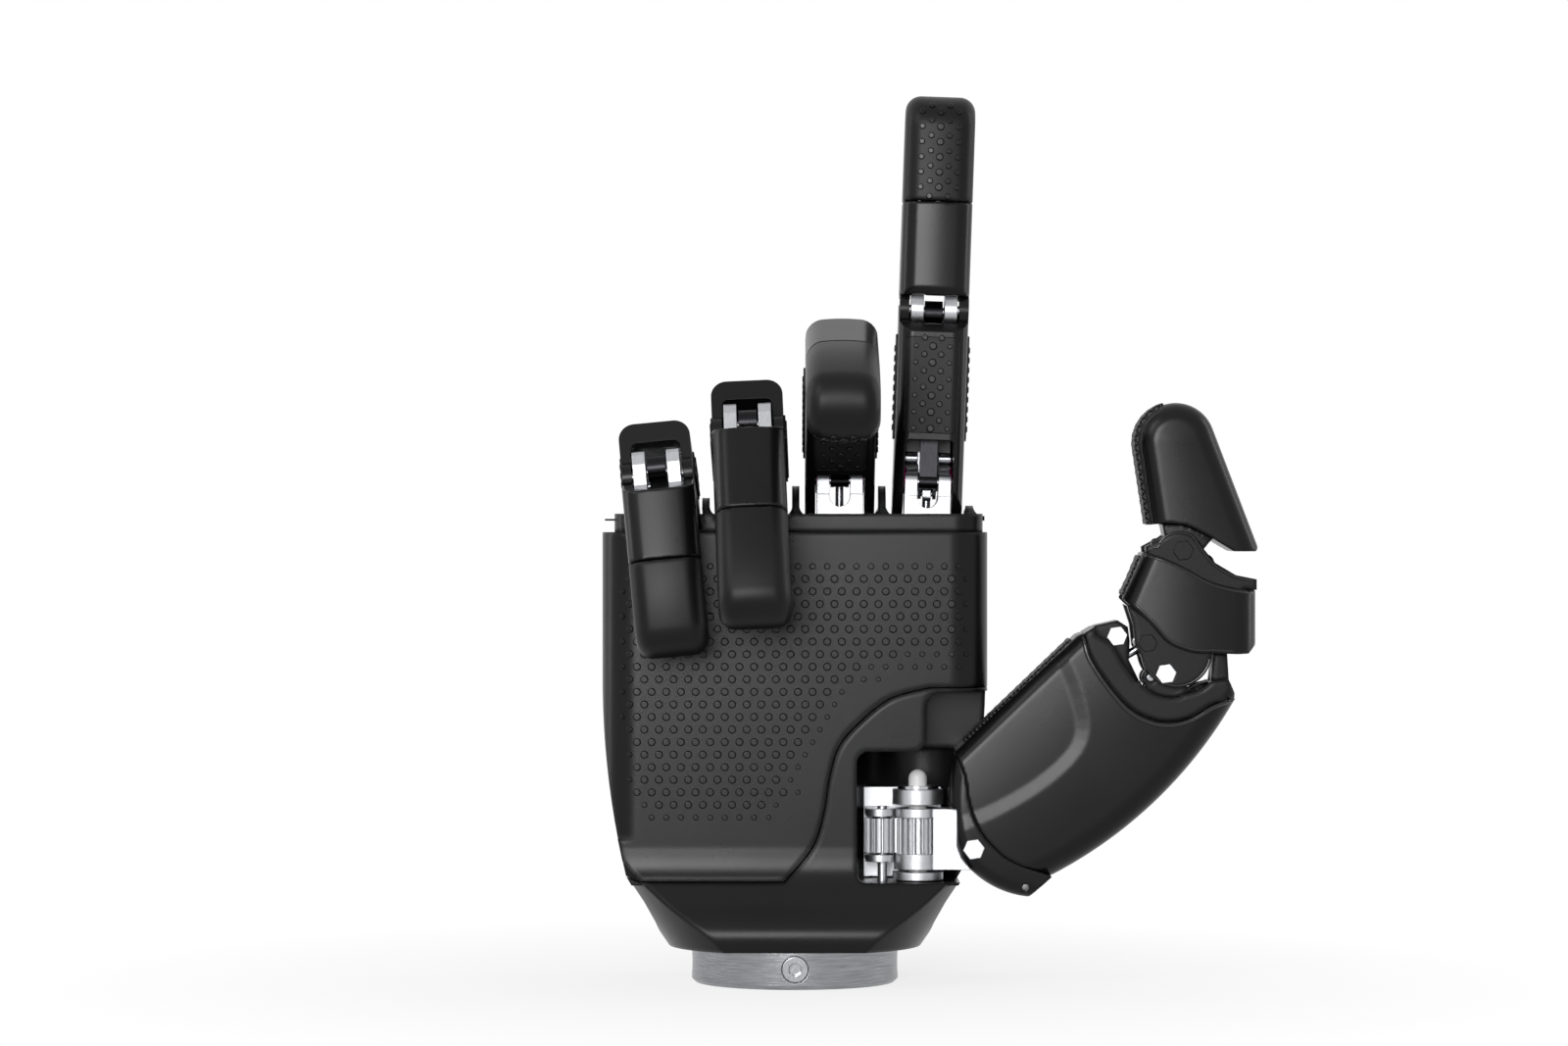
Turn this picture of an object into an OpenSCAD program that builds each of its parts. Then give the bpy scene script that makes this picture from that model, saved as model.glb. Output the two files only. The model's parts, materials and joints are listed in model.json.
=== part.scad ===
// Dexterous robot hand, right side: four linkage fingers and a swinging thumb.
// Origin at the centre of the wrist ring's lower face, +Z along the fingers,
// +X towards the thumb, the palm faces -Y.

/* [Wrist] */
// Outer diameter of the wrist ring
ring_d = 45; // [44:0.5:46]
// Inner diameter of the wrist ring
ring_bore_d = 32; // [31:0.5:33]
// Height of the wrist ring
ring_h = 8; // [7:0.5:9]
// Cable bore through the chassis spigot
cable_bore_d = 20; // [14:1:24]
// Pitch circle of the mounting holes
bolt_circle_d = 38.5; // [38:0.1:39]
// Tapping diameter of the M3 mounting holes
bolt_hole_d = 2.5; // [2:0.1:3]
// Number of mounting holes
bolt_count = 4; // [3:1:6]
// Depth of the mounting holes
bolt_depth = 6; // [4:0.5:6.5]

/* [Palm] */
// Width of the palm
palm_w = 83.4; // [82:0.2:86]
// Front face of the palm, distance in front of the finger axes
palm_front = 17; // [16.5:0.25:18]
// Back face of the palm, distance behind the finger axes
palm_back = 18; // [17.5:0.25:20]
// Height of the palm's upper edge
palm_top = 98; // [97.5:0.1:98.4]
// Height of the cover's lower edge
cover_bottom = 23; // [22.8:0.1:24]
// Height of the cover's lower edge beside the thumb
cover_side_z = 64.7; // [64.5:0.1:66]
// Wall of the moulded shells
wall = 2; // [1.6:0.1:2.2]
// Gap between neighbouring shells
seam = 0.25; // [0.15:0.05:0.3]
// Thickness of the knuckle frame
frame_h = 4; // [3.5:0.1:4.2]

/* [Fingers] */
// Length between the two joints of a long finger
proximal_l = 37.2; // [36:0.2:39]
// Length from the second joint to the tip of a long finger
distal_l = 46.7; // [45:0.2:49]
// Length between the joints of the little finger
little_proximal_l = 31.5; // [31:0.2:33]
// Length from the second joint to the tip of the little finger
little_distal_l = 39.5; // [38:0.2:41]
// Width of a finger shell
finger_w = 15.2; // [15:0.1:15.4]
// Finger surface on the gripping side, from the knuckle axis
finger_front = 7.6; // [7.4:0.1:7.8]
// Finger surface on the back, from the knuckle axis
finger_back = 7.6; // [7.4:0.1:7.8]
// Diameter of the knuckle pins
pin_d = 2.5; // [2.2:0.1:2.7]
// Width between the clevis ears
clevis_gap = 4.6; // [4.4:0.1:4.8]
// Width over the clevis ears
clevis_w = 10; // [9.8:0.1:10.2]
// Depth of the second joint's axis behind the gripping surface
joint_depth = 3.6; // [3.4:0.1:3.8]

/* [Thumb] */
// Swing axis, distance from the palm's centre
swing_x = 26.6; // [26.4:0.1:26.8]
// Swing axis, distance in front of the finger axes
swing_y = 10; // [9.8:0.1:10.2]
// Thickness of the thumb
thumb_t = 17; // [16.5:0.1:17]
// Teeth on the hub
hub_teeth = 16; // [16:1:16]
// Teeth on the pinion
pinion_teeth = 12; // [12:1:12]
// Gear module
gear_module = 0.55; // [0.54:0.005:0.55]
// Diameter of the swing shaft
shaft_d = 4; // [3.6:0.1:4]

/* [Fits] */
// Radial running clearance of pins and shafts
running = 0.04; // [0.03:0.01:0.06]
// Clearance between parts that pass each other
pass = 0.35; // [0.3:0.05:0.4]

/* [Pose at rest] */
// Knuckle angles of index, middle, ring and little finger
knuckle_rest = [0, 45.5, 65.5, 72.5];
// Turn of the second joint for each degree of the knuckle
curl_ratio = 1.35; // [1.35:0.01:1.35]

/* [Hidden] */
$fn = 40;

black = [0.09, 0.09, 0.10];
grip_black = [0.06, 0.06, 0.065];
bright = [0.82, 0.83, 0.85];
steel = [0.62, 0.63, 0.66];

// Each finger: place of the knuckle axis, fan angle, two lengths and the rest angle.
INDEX = 0;
MIDDLE = 1;
RING = 2;
LITTLE = 3;
side_margin = 12.7;
finger_pitch = (palm_w - 2 * side_margin - 0.4) / 3;
finger_x = [for (i = [0:3]) palm_w / 2 - side_margin - i * finger_pitch];
finger_z = [for (rise = [11.2, 11.6, 9.5, 6.5]) palm_top + rise];
finger_fan = [2, 0, -2.5, -5.5];
finger_l1 = [proximal_l, proximal_l, proximal_l, little_proximal_l];
finger_l2 = [distal_l, distal_l, distal_l, little_distal_l];

// Frames
module finger_place(f) {
    translate([finger_x[f], 0, finger_z[f]]) rotate([0, finger_fan[f], 0]) children();
}
module proximal_place(f) {
    finger_place(f) rotate([knuckle_rest[f], 0, 0]) children();
}
module distal_place(f) {
    proximal_place(f)
        translate([0, joint_depth - finger_front, finger_l1[f]])
            rotate([knuckle_rest[f] * curl_ratio, 0, 0]) children();
}

// Helpers: a side view (Y, Z) given thickness along X, and a front view (X, Z) along Y.
module side(w) {
    rotate([90, 0, 90]) linear_extrude(w, center = true, convexity = 6) children();
}
module front(y0, y1) {
    translate([0, y1, 0]) rotate([90, 0, 0]) linear_extrude(y1 - y0, convexity = 6) children();
}
module axle(d, l) {
    rotate([0, 90, 0]) cylinder(d = d, h = l, center = true);
}
// Rectangle from (x0, y0) to (x1, y1) with one radius on the lower corners and one on the upper.
module round_rect(x0, x1, y0, y1, lower, upper) {
    translate([x0, y0 + lower]) square([x1 - x0, y1 - y0 - lower - upper]);
    translate([x0 + lower, y0]) square([x1 - x0 - 2 * lower, lower]);
    translate([x0 + upper, y1 - upper]) square([x1 - x0 - 2 * upper, upper]);
    for (x = [x0 + lower, x1 - lower]) translate([x, y0 + lower]) circle(lower);
    for (x = [x0 + upper, x1 - upper]) translate([x, y1 - upper]) circle(upper);
}
// Disc about the Z axis with a rounded rim
module rim_disc(r, w, corner) rotate_extrude($fn = 96) {
    translate([0, -w / 2]) square([r - corner, w]);
    translate([0, -w / 2 + corner]) square([r, w - 2 * corner]);
    intersection() {
        for (s = [-1, 1]) translate([r - corner, s * (w / 2 - corner)]) circle(corner);
        translate([0, -w / 2]) square([r, w]);
    }
}
// Smooth open curve through a few points
function spline_point(a, b, c, d, t) =
    0.5 * (2 * b + (c - a) * t + (2 * a - 5 * b + 4 * c - d) * t * t
        + (3 * b - 3 * c + d - a) * t * t * t);
function smooth(p, n = 4) = concat([
    for (i = [0:len(p) - 2], k = [0:n - 1])
        spline_point(p[max(i - 1, 0)], p[i], p[i + 1], p[min(i + 2, len(p) - 1)], k / n)
], [p[len(p) - 1]]);

// ---------------------------------------------------------------- wrist and palm
screw_z = ring_h * 0.55;
m3_d = 3;
m3_head_d = 5.5;
m3_head_h = 3;
spigot_d = ring_bore_d - 0.2;
screw_seat = ring_d / 2 - m3_head_h - 0.3;
module around(n, a0 = 0) {
    for (i = [0:n - 1]) rotate(a0 + i * 360 / n) children();
}
module wrist_ring() color(bright) difference() {
    union() {
        translate([0, 0, 0.8]) cylinder(d = ring_d, h = ring_h - 0.8, $fn = 96);
        cylinder(d1 = ring_d - 1.6, d2 = ring_d, h = 0.8, $fn = 96);
    }
    translate([0, 0, -1]) cylinder(d = ring_bore_d, h = ring_h + 2, $fn = 96);
    around(bolt_count, 45) translate([bolt_circle_d / 2, 0, -1]) cylinder(d = bolt_hole_d, h = bolt_depth + 1);
    around(4) translate([0, 0, screw_z]) rotate([0, 90, 0]) {
        cylinder(d = m3_d + 0.4, h = ring_d);
        translate([0, 0, screw_seat]) cylinder(d = m3_head_d + 0.4, h = ring_d);
    }
}
module ring_screws() color(steel) around(4) translate([0, 0, screw_z]) rotate([0, 90, 0]) difference() {
    union() {
        translate([0, 0, cable_bore_d / 2 + 1]) cylinder(d = m3_d, h = screw_seat - cable_bore_d / 2 - 1);
        translate([0, 0, screw_seat]) cylinder(d = m3_head_d, h = m3_head_h);
    }
    translate([0, 0, screw_seat + m3_head_h - 1.6]) cylinder(d = 2.9, h = 2, $fn = 6);
}

disc_d = 38;
disc_h = 4;
spine_y = [10.1, 12.3];
plate_z = [palm_top - 3.5, palm_top - 1];
rod_y = 4.05;
rod_d = 1.8;
module palm_chassis() color([0.55, 0.56, 0.58]) difference() {
    union() {
        translate([0, 0, 1.5]) cylinder(d = spigot_d, h = ring_h - 1.4, $fn = 64);
        translate([0, 0, ring_h]) cylinder(d = disc_d, h = disc_h, $fn = 64);
        translate([-16, spine_y[0], ring_h + disc_h - 0.5])
            cube([32, spine_y[1] - spine_y[0], 20]);
        translate([-31, spine_y[0], ring_h + disc_h + 14])
            cube([62, spine_y[1] - spine_y[0], plate_z[1] - ring_h - disc_h - 14]);
        translate([-palm_w / 2 + 5.7, -10, plate_z[0]])
            cube([palm_w - 10.4, spine_y[1] + 10, plate_z[1] - plate_z[0]]);
    }
    translate([0, 0, 1]) cylinder(d = cable_bore_d, h = ring_h + disc_h);
    around(4) translate([0, 0, screw_z]) rotate([0, 90, 0]) cylinder(d = m3_d + 0.1, h = ring_d / 2);
    for (f = [0:3]) finger_place(f) translate([0, rod_y, -40]) cylinder(d = rod_d + 0.8, h = 50);
    for (x = [-20, 0, 20], z = [38, 62]) translate([x, spine_y[0] - 1, z]) rotate([-90, 0, 0]) cylinder(d = 7, h = 4);
    finger_sweeps();
}

// Outer form of the palm: flat slab with rounded corners above, round bowl at the wrist.
side_r = 184;
module palm_front_view(inset = 0) {
    hw = palm_w / 2 - inset;
    function edge_x(z) = hw - (z < 68 ? side_r - sqrt(side_r * side_r - pow(68 - z, 2)) : 0);
    left = [for (z = [68:-4:24]) [-edge_x(z), z]];
    low = [for (p = [[-34.8, 21.4], [-32.6, 18], [-30.3, 13.5], [-28.9, 9.6], [-27.4, ring_h]]) p + [inset, 0]];
    pts = concat([[-hw, palm_top + 2]], left, low);
    polygon(concat(pts, [for (i = [len(pts) - 1:-1:0]) [-pts[i][0], pts[i][1]]]));
}
bowl_front = 23.4;
module palm_side_view(inset = 0) {
    polygon(concat(
        [[-palm_front + inset, palm_top - inset]],
        smooth([[-palm_front + inset, 30], [-palm_front - 0.6 + inset, 25],
            [-palm_front - 3.2 + inset, 19], [-bowl_front + inset, 12.5],
            [-bowl_front + 0.4 + inset, ring_h + inset]], 10),
        smooth([[bowl_front - 0.4 - inset, ring_h + inset], [bowl_front - inset, 12.5],
            [palm_back + 2.4 - inset, 21], [palm_back - inset, 30]], 10),
        [[palm_back - inset, palm_top - inset]]));
}
module palm_slab(inset = 0, z0 = 22, z1 = palm_top) {
    translate([0, 0, z0]) linear_extrude(z1 - z0) round_rect(-palm_w / 2 + inset, palm_w / 2 - inset,
        -palm_front + inset, palm_back - inset, 8 - inset, 9 - inset, $fn = 64);
}
module palm_outer() {
    intersection() {
        front(-40, 40) palm_front_view();
        union() {
            palm_slab();
            intersection() {
                side(palm_w) palm_side_view();
                translate([0, 0, ring_h]) cylinder(r1 = 27.5, r2 = 44, h = 24, $fn = 96);
            }
        }
    }
}
module palm_inner(z0) intersection() {
    palm_slab(wall, z0, palm_top + 1);
    front(-40, 40) palm_front_view(wall);
}
module palm_cavity() {
    palm_inner(24);
    intersection() {
        side(palm_w) palm_side_view(wall);
        translate([0, 0, ring_h + 1.6]) cylinder(r1 = 20.2, r2 = 36, h = 20, $fn = 64);
    }
    translate([0, 0, ring_h - 1]) cylinder(d = disc_d + 0.4, h = 6, $fn = 64);
}
module cover_view(gap = 0) {
    hw = palm_w / 2 + 3;
    curve = smooth([[29.1, cover_side_z], [20.5, cover_side_z - 2.3], [13.6, cover_side_z - 7.6],
        [9.3, cover_side_z - 12.8], [7.3, cover_side_z - 19.5], [6.1, cover_side_z - 27],
        [3.6, cover_side_z - 34.5], [-2.4, cover_bottom]], 5);
    polygon(concat([[-hw, palm_top + 2], [hw, palm_top + 2], [hw, cover_side_z - gap]],
        [for (p = curve) p + [gap, -gap]],
        [[-34, cover_bottom - gap], [-36, cover_bottom + 1 - gap], [-hw, cover_bottom + 1.6 - gap]]));
}
cover_back = -6;
module palm_cover() color(black) difference() {
    intersection() {
        palm_outer();
        difference() {
            front(-60, cover_back) cover_view();
            difference() {
                palm_inner(ring_h);
                at_screws() cylinder(d = 5.6, h = 30);
            }
        }
    }
    finger_sweeps();
    at_screws() cylinder(d = 2.2, h = palm_front - wall + cover_back);
}
screw_x = palm_w / 2 - 8.7;
screw_at = [[-screw_x, palm_top - 8], [screw_x, palm_top - 8], [-screw_x, 34], [screw_x, 72]];
screw_head_h = 1.6;
tab_t = 1.4;
module at_screws(y = cover_back) {
    for (p = screw_at) translate([p[0], y, p[1]]) rotate([90, 0, 0]) children();
}
// Tabs of the shell that the cover's screws pull against
module cover_tabs() difference() {
    for (p = screw_at) translate([p[0] < 0 ? -palm_w / 2 : p[0] - 4, cover_back, p[1] - 4])
        cube([palm_w / 2 - abs(p[0]) + 4, tab_t, 8]);
    at_screws(0) cylinder(d = 2.2, h = 10);
}

// Bay in which the thumb swings
bay_r = 13.3;
bay_z = [22.6, 50.8];
channel_top = 63.7;
thumb_back = -swing_y + thumb_t / 2 + 1.4;
channel_x = swing_x + 1.4;
bay_corner = 2.6;
module thumb_bay() {
    translate([swing_x, -swing_y, bay_z[0]]) cylinder(r = bay_r, h = bay_z[1] - bay_z[0], $fn = 64);
    front(-60, -swing_y) round_rect(swing_x - bay_r, 60, bay_z[0], bay_z[1], 2, 2.5);
    front(-60, thumb_back) translate([swing_x, bay_z[0]]) square([60, bay_z[1] - bay_z[0]]);
    front(-60, thumb_back) {
        round_rect(channel_x, channel_x + 60, bay_z[1] - 8, channel_top, 1, 3.2);
        difference() {
            translate([channel_x - bay_corner, bay_z[1] - 1]) square([bay_corner + 1, bay_corner + 1]);
            translate([channel_x - bay_corner, bay_z[1] + bay_corner]) circle(bay_corner);
        }
    }
}
module bay_floor_hole() {
    translate([pinion_x, -swing_y, ring_h]) cylinder(d = 3, h = bay_z[0] - ring_h + 2);
    translate([pinion_x, -swing_y, ring_h]) cylinder(d = 8.9, h = 12.8);
    translate([pinion_x - 4.4, frame_y[0] - 2, frame_foot_z[0] - 0.1])
        cube([swing_x - pinion_x + 10, frame_y[1] - frame_y[0] + 2.2, frame_arm_z[1] - frame_foot_z[0] + 0.3]);
}
module palm_shell() color(black) difference() {
    palm_outer();
    difference() {
        palm_cavity();
        bay_walls();
        cover_tabs();
    }
    front(-60, cover_back + seam) cover_view(seam);
    thumb_bay();
    bay_floor_hole();
    finger_sweeps();
}
module bay_walls() {
    intersection() {
        palm_slab(0.5, 20, palm_top - 4);
        union() {
            translate([swing_x, -swing_y, bay_z[0] - 1.5])
                cylinder(r = bay_r + 1.6, h = bay_z[1] - bay_z[0] + 3, $fn = 64);
            front(-60, thumb_back + 1.6) translate([swing_x, bay_z[0] - 1.5])
                square([60, channel_top - bay_z[0] + 3]);
        }
    }
}

// Space that the fingers sweep above the palm
module finger_sweeps() {
    for (f = [0:3]) finger_place(f) {
        axle(2 * (finger_front + 0.6), finger_w + 1.2, $fn = 64);
        translate([-finger_w / 2 - 0.6, 0, 0]) cube([finger_w + 1.2, finger_back + 0.6, 20]);
        translate([-finger_w / 2 - 0.6, -30, -6.5]) cube([finger_w + 1.2, 30, 20]);
    }
}
lug_t = 1.6;
function between(f) = (finger_x[f] + finger_x[f + 1]) / 2;
lug_x = [-palm_w / 2 + 3.5, between(RING) - 0.4, between(MIDDLE), between(INDEX) - 0.4, palm_w / 2 - 3.6];
lug_top = [for (rise = [2.9, 7.5, 10.1, 10.1, 5.8]) palm_top + rise];
module knuckle_frame() color(black) difference() {
    union() {
        translate([0, 0, palm_top]) linear_extrude(frame_h) round_rect(-palm_w / 2 + 2.6, palm_w / 2 - 1,
            -palm_front + 2, palm_back - 3, 6, 7);
        for (i = [0:4]) lug(i);
    }
    finger_sweeps();
    for (f = [0:3]) finger_place(f) translate([-clevis_w / 2 - 0.3, -9, -20]) cube([clevis_w + 0.6, 18, 30]);
}
module lug(i) {
    foot = 2.2;
    z0 = palm_top + frame_h - 0.5;
    translate([lug_x[i], 0, 0]) intersection() {
        side(12) {
            translate([0, lug_top[i] - 5]) circle(5);
            translate([-9, z0 - 1]) square([18, max(0.6, lug_top[i] - 5 - z0 + 1)]);
            translate([-9, z0 - 1]) square([18, 1.5]);
        }
        front(-10, 10) {
            translate([-lug_t / 2, z0 - 1]) square([lug_t, lug_top[i] - z0 + 1]);
            difference() {
                translate([-lug_t / 2 - foot, z0 - 1]) square([lug_t + 2 * foot, 1 + min(foot, lug_top[i] - z0)]);
                for (s = [-1, 1]) translate([s * (lug_t / 2 + foot), z0 + foot]) circle(foot);
            }
        }
    }
}

// Clevis ears carry the knuckle pin and the coupler's lower pin.
coupler_a = [-3.6, -0.3];
coupler_pin_d = 1.6;
ear_r = 2.8;
base_top = -3.3;
notch_floor = -6;
module knuckle_clevises() color(bright) intersection() {
    for (f = [0:3]) finger_place(f) difference() {
        union() {
            side(clevis_w) {
                circle(ear_r);
                translate(coupler_a) circle(1.8);
                translate([-5.4, -3.6]) square([8.2, 3.3]);
            }
            translate([-clevis_w / 2, -6, -20]) cube([clevis_w, 13, 20 + base_top]);
        }
        side(clevis_gap) {
            translate([-12, notch_floor + clevis_gap / 2]) square([24, 20]);
        }
        front(-12, 12) translate([0, notch_floor + clevis_gap / 2]) circle(clevis_gap / 2);
        translate([0, rod_y, -30]) cylinder(d = rod_d + 2 * pass, h = 40);
        axle(pin_d + 0.02, 30);
        translate([0, coupler_a[0], coupler_a[1]]) axle(coupler_pin_d + 0.02, 30);
    }
    translate([-60, -20, plate_z[1]]) cube([120, 40, 40]);
}
module knuckle_pins() color(steel) for (f = [0:3]) finger_place(f) {
    axle(pin_d, finger_w - 0.8);
    translate([0, coupler_a[0], coupler_a[1]]) axle(coupler_pin_d, clevis_w);
}

// Linear drive under each knuckle
drive_top = plate_z[0];
drive_h = 16;
motor_d = 10;
module finger_drives() color([0.2, 0.2, 0.22]) intersection() {
    for (f = [0:3]) finger_place(f) translate([0, rod_y, drive_top - finger_z[f]]) difference() {
        union() {
            translate([-6, -5.5, -drive_h]) cube([12, 11, drive_h + 2]);
            translate([0, 0, -drive_h - 13]) cylinder(d = motor_d, h = 13.5);
        }
        translate([0, 0, -drive_h + 2]) cylinder(d = rod_d + 0.6, h = drive_h + 10);
    }
    translate([-60, -20, 0]) cube([120, 40, drive_top]);
}
module control_board() color([0.05, 0.25, 0.12]) {
    translate([-25, spine_y[1] + 0.9, 30]) cube([50, 1.4, 40]);
    for (x = [-20, 0, 20], z = [38, 62]) translate([x, spine_y[0], z]) rotate([-90, 0, 0]) cylinder(d = 6.9, h = spine_y[1] - spine_y[0] + 1);
    for (x = [-14, 4]) translate([x, spine_y[1] + 2.2, 44]) cube([9, 0.9, 9]);
}
module cover_screws() color(steel) at_screws(cover_back + tab_t + screw_head_h) {
    cylinder(d = 2, h = 8);
    cylinder(d = 3.6, h = screw_head_h);
}

// ---------------------------------------------------------------- swing drive
pinion_x = swing_x - gear_module * (hub_teeth + pinion_teeth) / 2;
gear_z = [28.7, 36.2];
collar_d = 9;
frame_arm_z = [39.2, 42.4];
frame_foot_z = [22.9, 24.6];
frame_y = [-swing_y + 8.6, -swing_y + 10.8];
module gear(teeth, phase = 0) {
    rp = gear_module * teeth / 2;
    ro = rp + gear_module * 0.85;
    rr = rp - gear_module * 1.15;
    step = 360 / teeth;
    circle(rr + 0.02, $fn = 48);
    for (i = [0:teeth - 1]) rotate(phase + i * step) polygon([
        [rr * cos(step * 0.24), -rr * sin(step * 0.24)], [rp, -rp * sin(step * 0.185)],
        [ro, -ro * sin(step * 0.08)], [ro, ro * sin(step * 0.08)],
        [rp, rp * sin(step * 0.185)], [rr * cos(step * 0.24), rr * sin(step * 0.24)]]);
}
module swing_pinion() color(bright) translate([pinion_x, -swing_y, 0]) {
    translate([0, 0, gear_z[0]]) linear_extrude(gear_z[1] - gear_z[0]) gear(pinion_teeth);
    translate([0, 0, 20]) cylinder(d = 2, h = frame_arm_z[0] - 0.4 - 20);
}
module thumb_gear_frame() color(bright) translate([0, 0, 0]) difference() {
    union() {
        translate([pinion_x - 4.2, frame_y[0], frame_foot_z[0]])
            cube([swing_x - pinion_x + 9.5, frame_y[1] - frame_y[0], frame_arm_z[1] - frame_foot_z[0]]);
        for (z = [frame_arm_z, frame_foot_z]) translate([0, 0, z[0]]) linear_extrude(z[1] - z[0]) {
            translate([swing_x, -swing_y]) circle(collar_d / 2 + 1, $fn = 48);
            translate([swing_x - 4, -swing_y]) square([8, frame_y[1] + swing_y]);
        }
        for (z = [[gear_z[1] + 0.4, 38.2], [26.8, gear_z[0] - 0.4]]) translate([0, 0, z[0]])
            linear_extrude(z[1] - z[0]) difference() {
                union() {
                    translate([pinion_x - 3.6, -swing_y]) square([5.4, frame_y[1] + swing_y]);
                    translate([pinion_x - 0.4, -swing_y]) circle(3.2);
                }
                translate([swing_x, -swing_y]) circle(hub_r + pass, $fn = 48);
            }
    }
    translate([swing_x, -swing_y, 20]) cylinder(d = collar_d - 1.98, h = 40);
    translate([pinion_x, -swing_y, 20]) cylinder(d = 2 + 2 * running, h = 19);
}
module thumb_bushes() color(bright) translate([swing_x, -swing_y, 0]) difference() {
    union() {
        for (z = [frame_arm_z, frame_foot_z]) translate([0, 0, z[0]]) cylinder(d = collar_d - 2, h = z[1] - z[0]);
        translate([0, 0, frame_arm_z[1]]) cylinder(d = collar_d, h = 0.8);
    }
    cylinder(d = shaft_d + 2 * running, h = 60);
}
module thumb_swing_motor() color(steel) translate([pinion_x, -swing_y, 0]) difference() {
    translate([0, 0, ring_h + 4.3]) cylinder(d = 8.5, h = 8.3);
    translate([0, 0, 19.9]) cylinder(d = 2.2, h = 4);
}

// ---------------------------------------------------------------- thumb
thumb_y = [-swing_y - thumb_t / 2, -swing_y + thumb_t / 2];
neck_t = 9;
hub_r = 5.2;
hub_z = [25.2, 38.3];
hub_arm_x = 38.4;
p1 = [79.8, 67.6];
p2 = [83.5, 94.1];
lug_p = [69.5, 75.6];
base_hex = [38.4, 30];
module in_thumb(y0, y1) { front(-swing_y + y0, -swing_y + y1) children(); }
// Disc and straight edge with rounded rims, in the thumb's plane; an edge keeps what lies left of it.
module thumb_disc(c, r, corner) {
    translate([c[0], -swing_y, c[1]]) rotate([90, 0, 0]) rim_disc(r, thumb_t, corner);
}
module thumb_edge(p, angle, corner) {
    translate([p[0], -swing_y, p[1]]) rotate([0, -angle, 0])
        side(120) round_rect(-thumb_t / 2, thumb_t / 2, 0, 80, corner, corner);
}
module thumb_bore(p, d) {
    translate([p[0], -swing_y, p[1]]) rotate([90, 0, 0]) cylinder(d = d, h = 60, center = true);
}
module thumb_axle(p, d, l) {
    translate([p[0], -swing_y, p[1]]) rotate([90, 0, 0]) cylinder(d = d, h = l, center = true);
}
module hex_head(p, h, across = 3.8) {
    for (s = [0, 1]) translate([p[0], -swing_y + (s == 0 ? -thumb_t / 2 - h : thumb_t / 2), p[1]])
        rotate([-90, 0, 0]) cylinder(d = across, h = h, $fn = 6);
}
module thumb_shaft() color(steel) translate([swing_x, -swing_y, 0]) {
    translate([0, 0, frame_foot_z[0]]) cylinder(d = shaft_d, h = 21.8);
    translate([0, 0, frame_foot_z[0] + 21.8]) sphere(d = shaft_d - 0.02);
    translate([0, 0, frame_foot_z[0] + 0.1 - 0.4]) cylinder(d = shaft_d - 0.6, h = 1);
}
module thumb_hub() color(bright) difference() {
    union() {
        translate([swing_x, -swing_y, 0]) {
            for (z = [[hub_z[0], gear_z[0] - 0.2], [gear_z[1] + 0.2, hub_z[1]]])
                translate([0, 0, z[0]]) cylinder(r = hub_r, h = z[1] - z[0]);
            translate([0, 0, gear_z[0] - 1]) linear_extrude(gear_z[1] - gear_z[0] + 2)
                gear(hub_teeth, 180 + 180 / hub_teeth);
        }
        in_thumb(-neck_t / 2, neck_t / 2) {
            translate([swing_x + 3.2, hub_z[0]]) square([hub_arm_x - swing_x - 3.2, hub_z[1] - hub_z[0]]);
            translate([hub_arm_x - 1, hub_z[0] + 3]) square([8, hub_z[1] - hub_z[0] - 3]);
        }
    }
    translate([swing_x, -swing_y, 20]) cylinder(d = shaft_d + 0.02, h = 30);
    thumb_bore(base_hex, 2.06);
}
// Outlines of the thumb, in the plane of its bones
split_curve = smooth([[55.4, 24.1], [46.8, 27.2], [41.9, 31.2], [39, 35.4], [37.4, 40.4],
    [36.6, 45.6], [34.6, 50.6]]);
rim_curve = smooth([[94.6, 62.1], [90, 61], [85.4, 58.3], [80.8, 57.2], [76.3, 57.9], [71.8, 60.4],
    [67.2, 65.6], [63.4, 71.6], [62.3, 76.4]]);
cap_side_c = [67.7, 40.76];
cap_side_r = 34.5;
cap_end_c = [52.2, 39.9];
cap_end_r = 20.45;
outer_c = [11.1, 109.8];
outer_r = 96.5;
inner_edge = [60.8, 75.9];
inner_angle = 223.7;
module cap_view() polygon(concat([[49.2, 18.6], [40, 17], [30, 26], [30, 48], [32.6, 52.4]],
    [for (i = [len(split_curve) - 1:-1:0]) split_curve[i]]));
module metacarpal_view() polygon(concat([[56.8, 21.4], [84, 36], [100, 56], [97.6, 62.9]], rim_curve,
    [[60.9, 75.9], [58, 77], [30.9, 50.6]], [for (i = [len(split_curve) - 1:-1:0]) split_curve[i]]));
module cap_body() intersection() {
    in_thumb(-thumb_t / 2, thumb_t / 2) cap_view();
    thumb_disc(cap_side_c, cap_side_r, 3);
    thumb_disc(cap_end_c, cap_end_r, 3);
}
module metacarpal_body() intersection() {
    in_thumb(-thumb_t / 2, thumb_t / 2) difference() {
        metacarpal_view();
        translate(base_hex) circle(1.2);
    }
    thumb_disc(outer_c, outer_r, 5);
    thumb_edge(inner_edge, inner_angle, 3);
}
module thumb_hollow() {
    in_thumb(-thumb_t / 2 + wall, thumb_t / 2 - wall)
        polygon(concat(smooth([[42.6, 33.4], [47.4, 29], [56.2, 26.6], [66.6, 33.6], [78, 44.4],
            [86.4, 53], [88.8, 56.4]]), [[84, 75]], smooth([[62, 73.8], [52, 65], [43, 57], [39, 50],
            [39.2, 41]])));
}
module hub_pocket() {
    in_thumb(-neck_t / 2 - 0.25, neck_t / 2 + 0.25) {
        translate([20, hub_z[0] - 0.3]) square([hub_arm_x - 20 + 0.3, hub_z[1] - hub_z[0] + 0.6]);
        translate([hub_arm_x - 1, hub_z[0] + 2.7]) square([8.3, hub_z[1] - hub_z[0] - 2.4]);
    }
}
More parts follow.
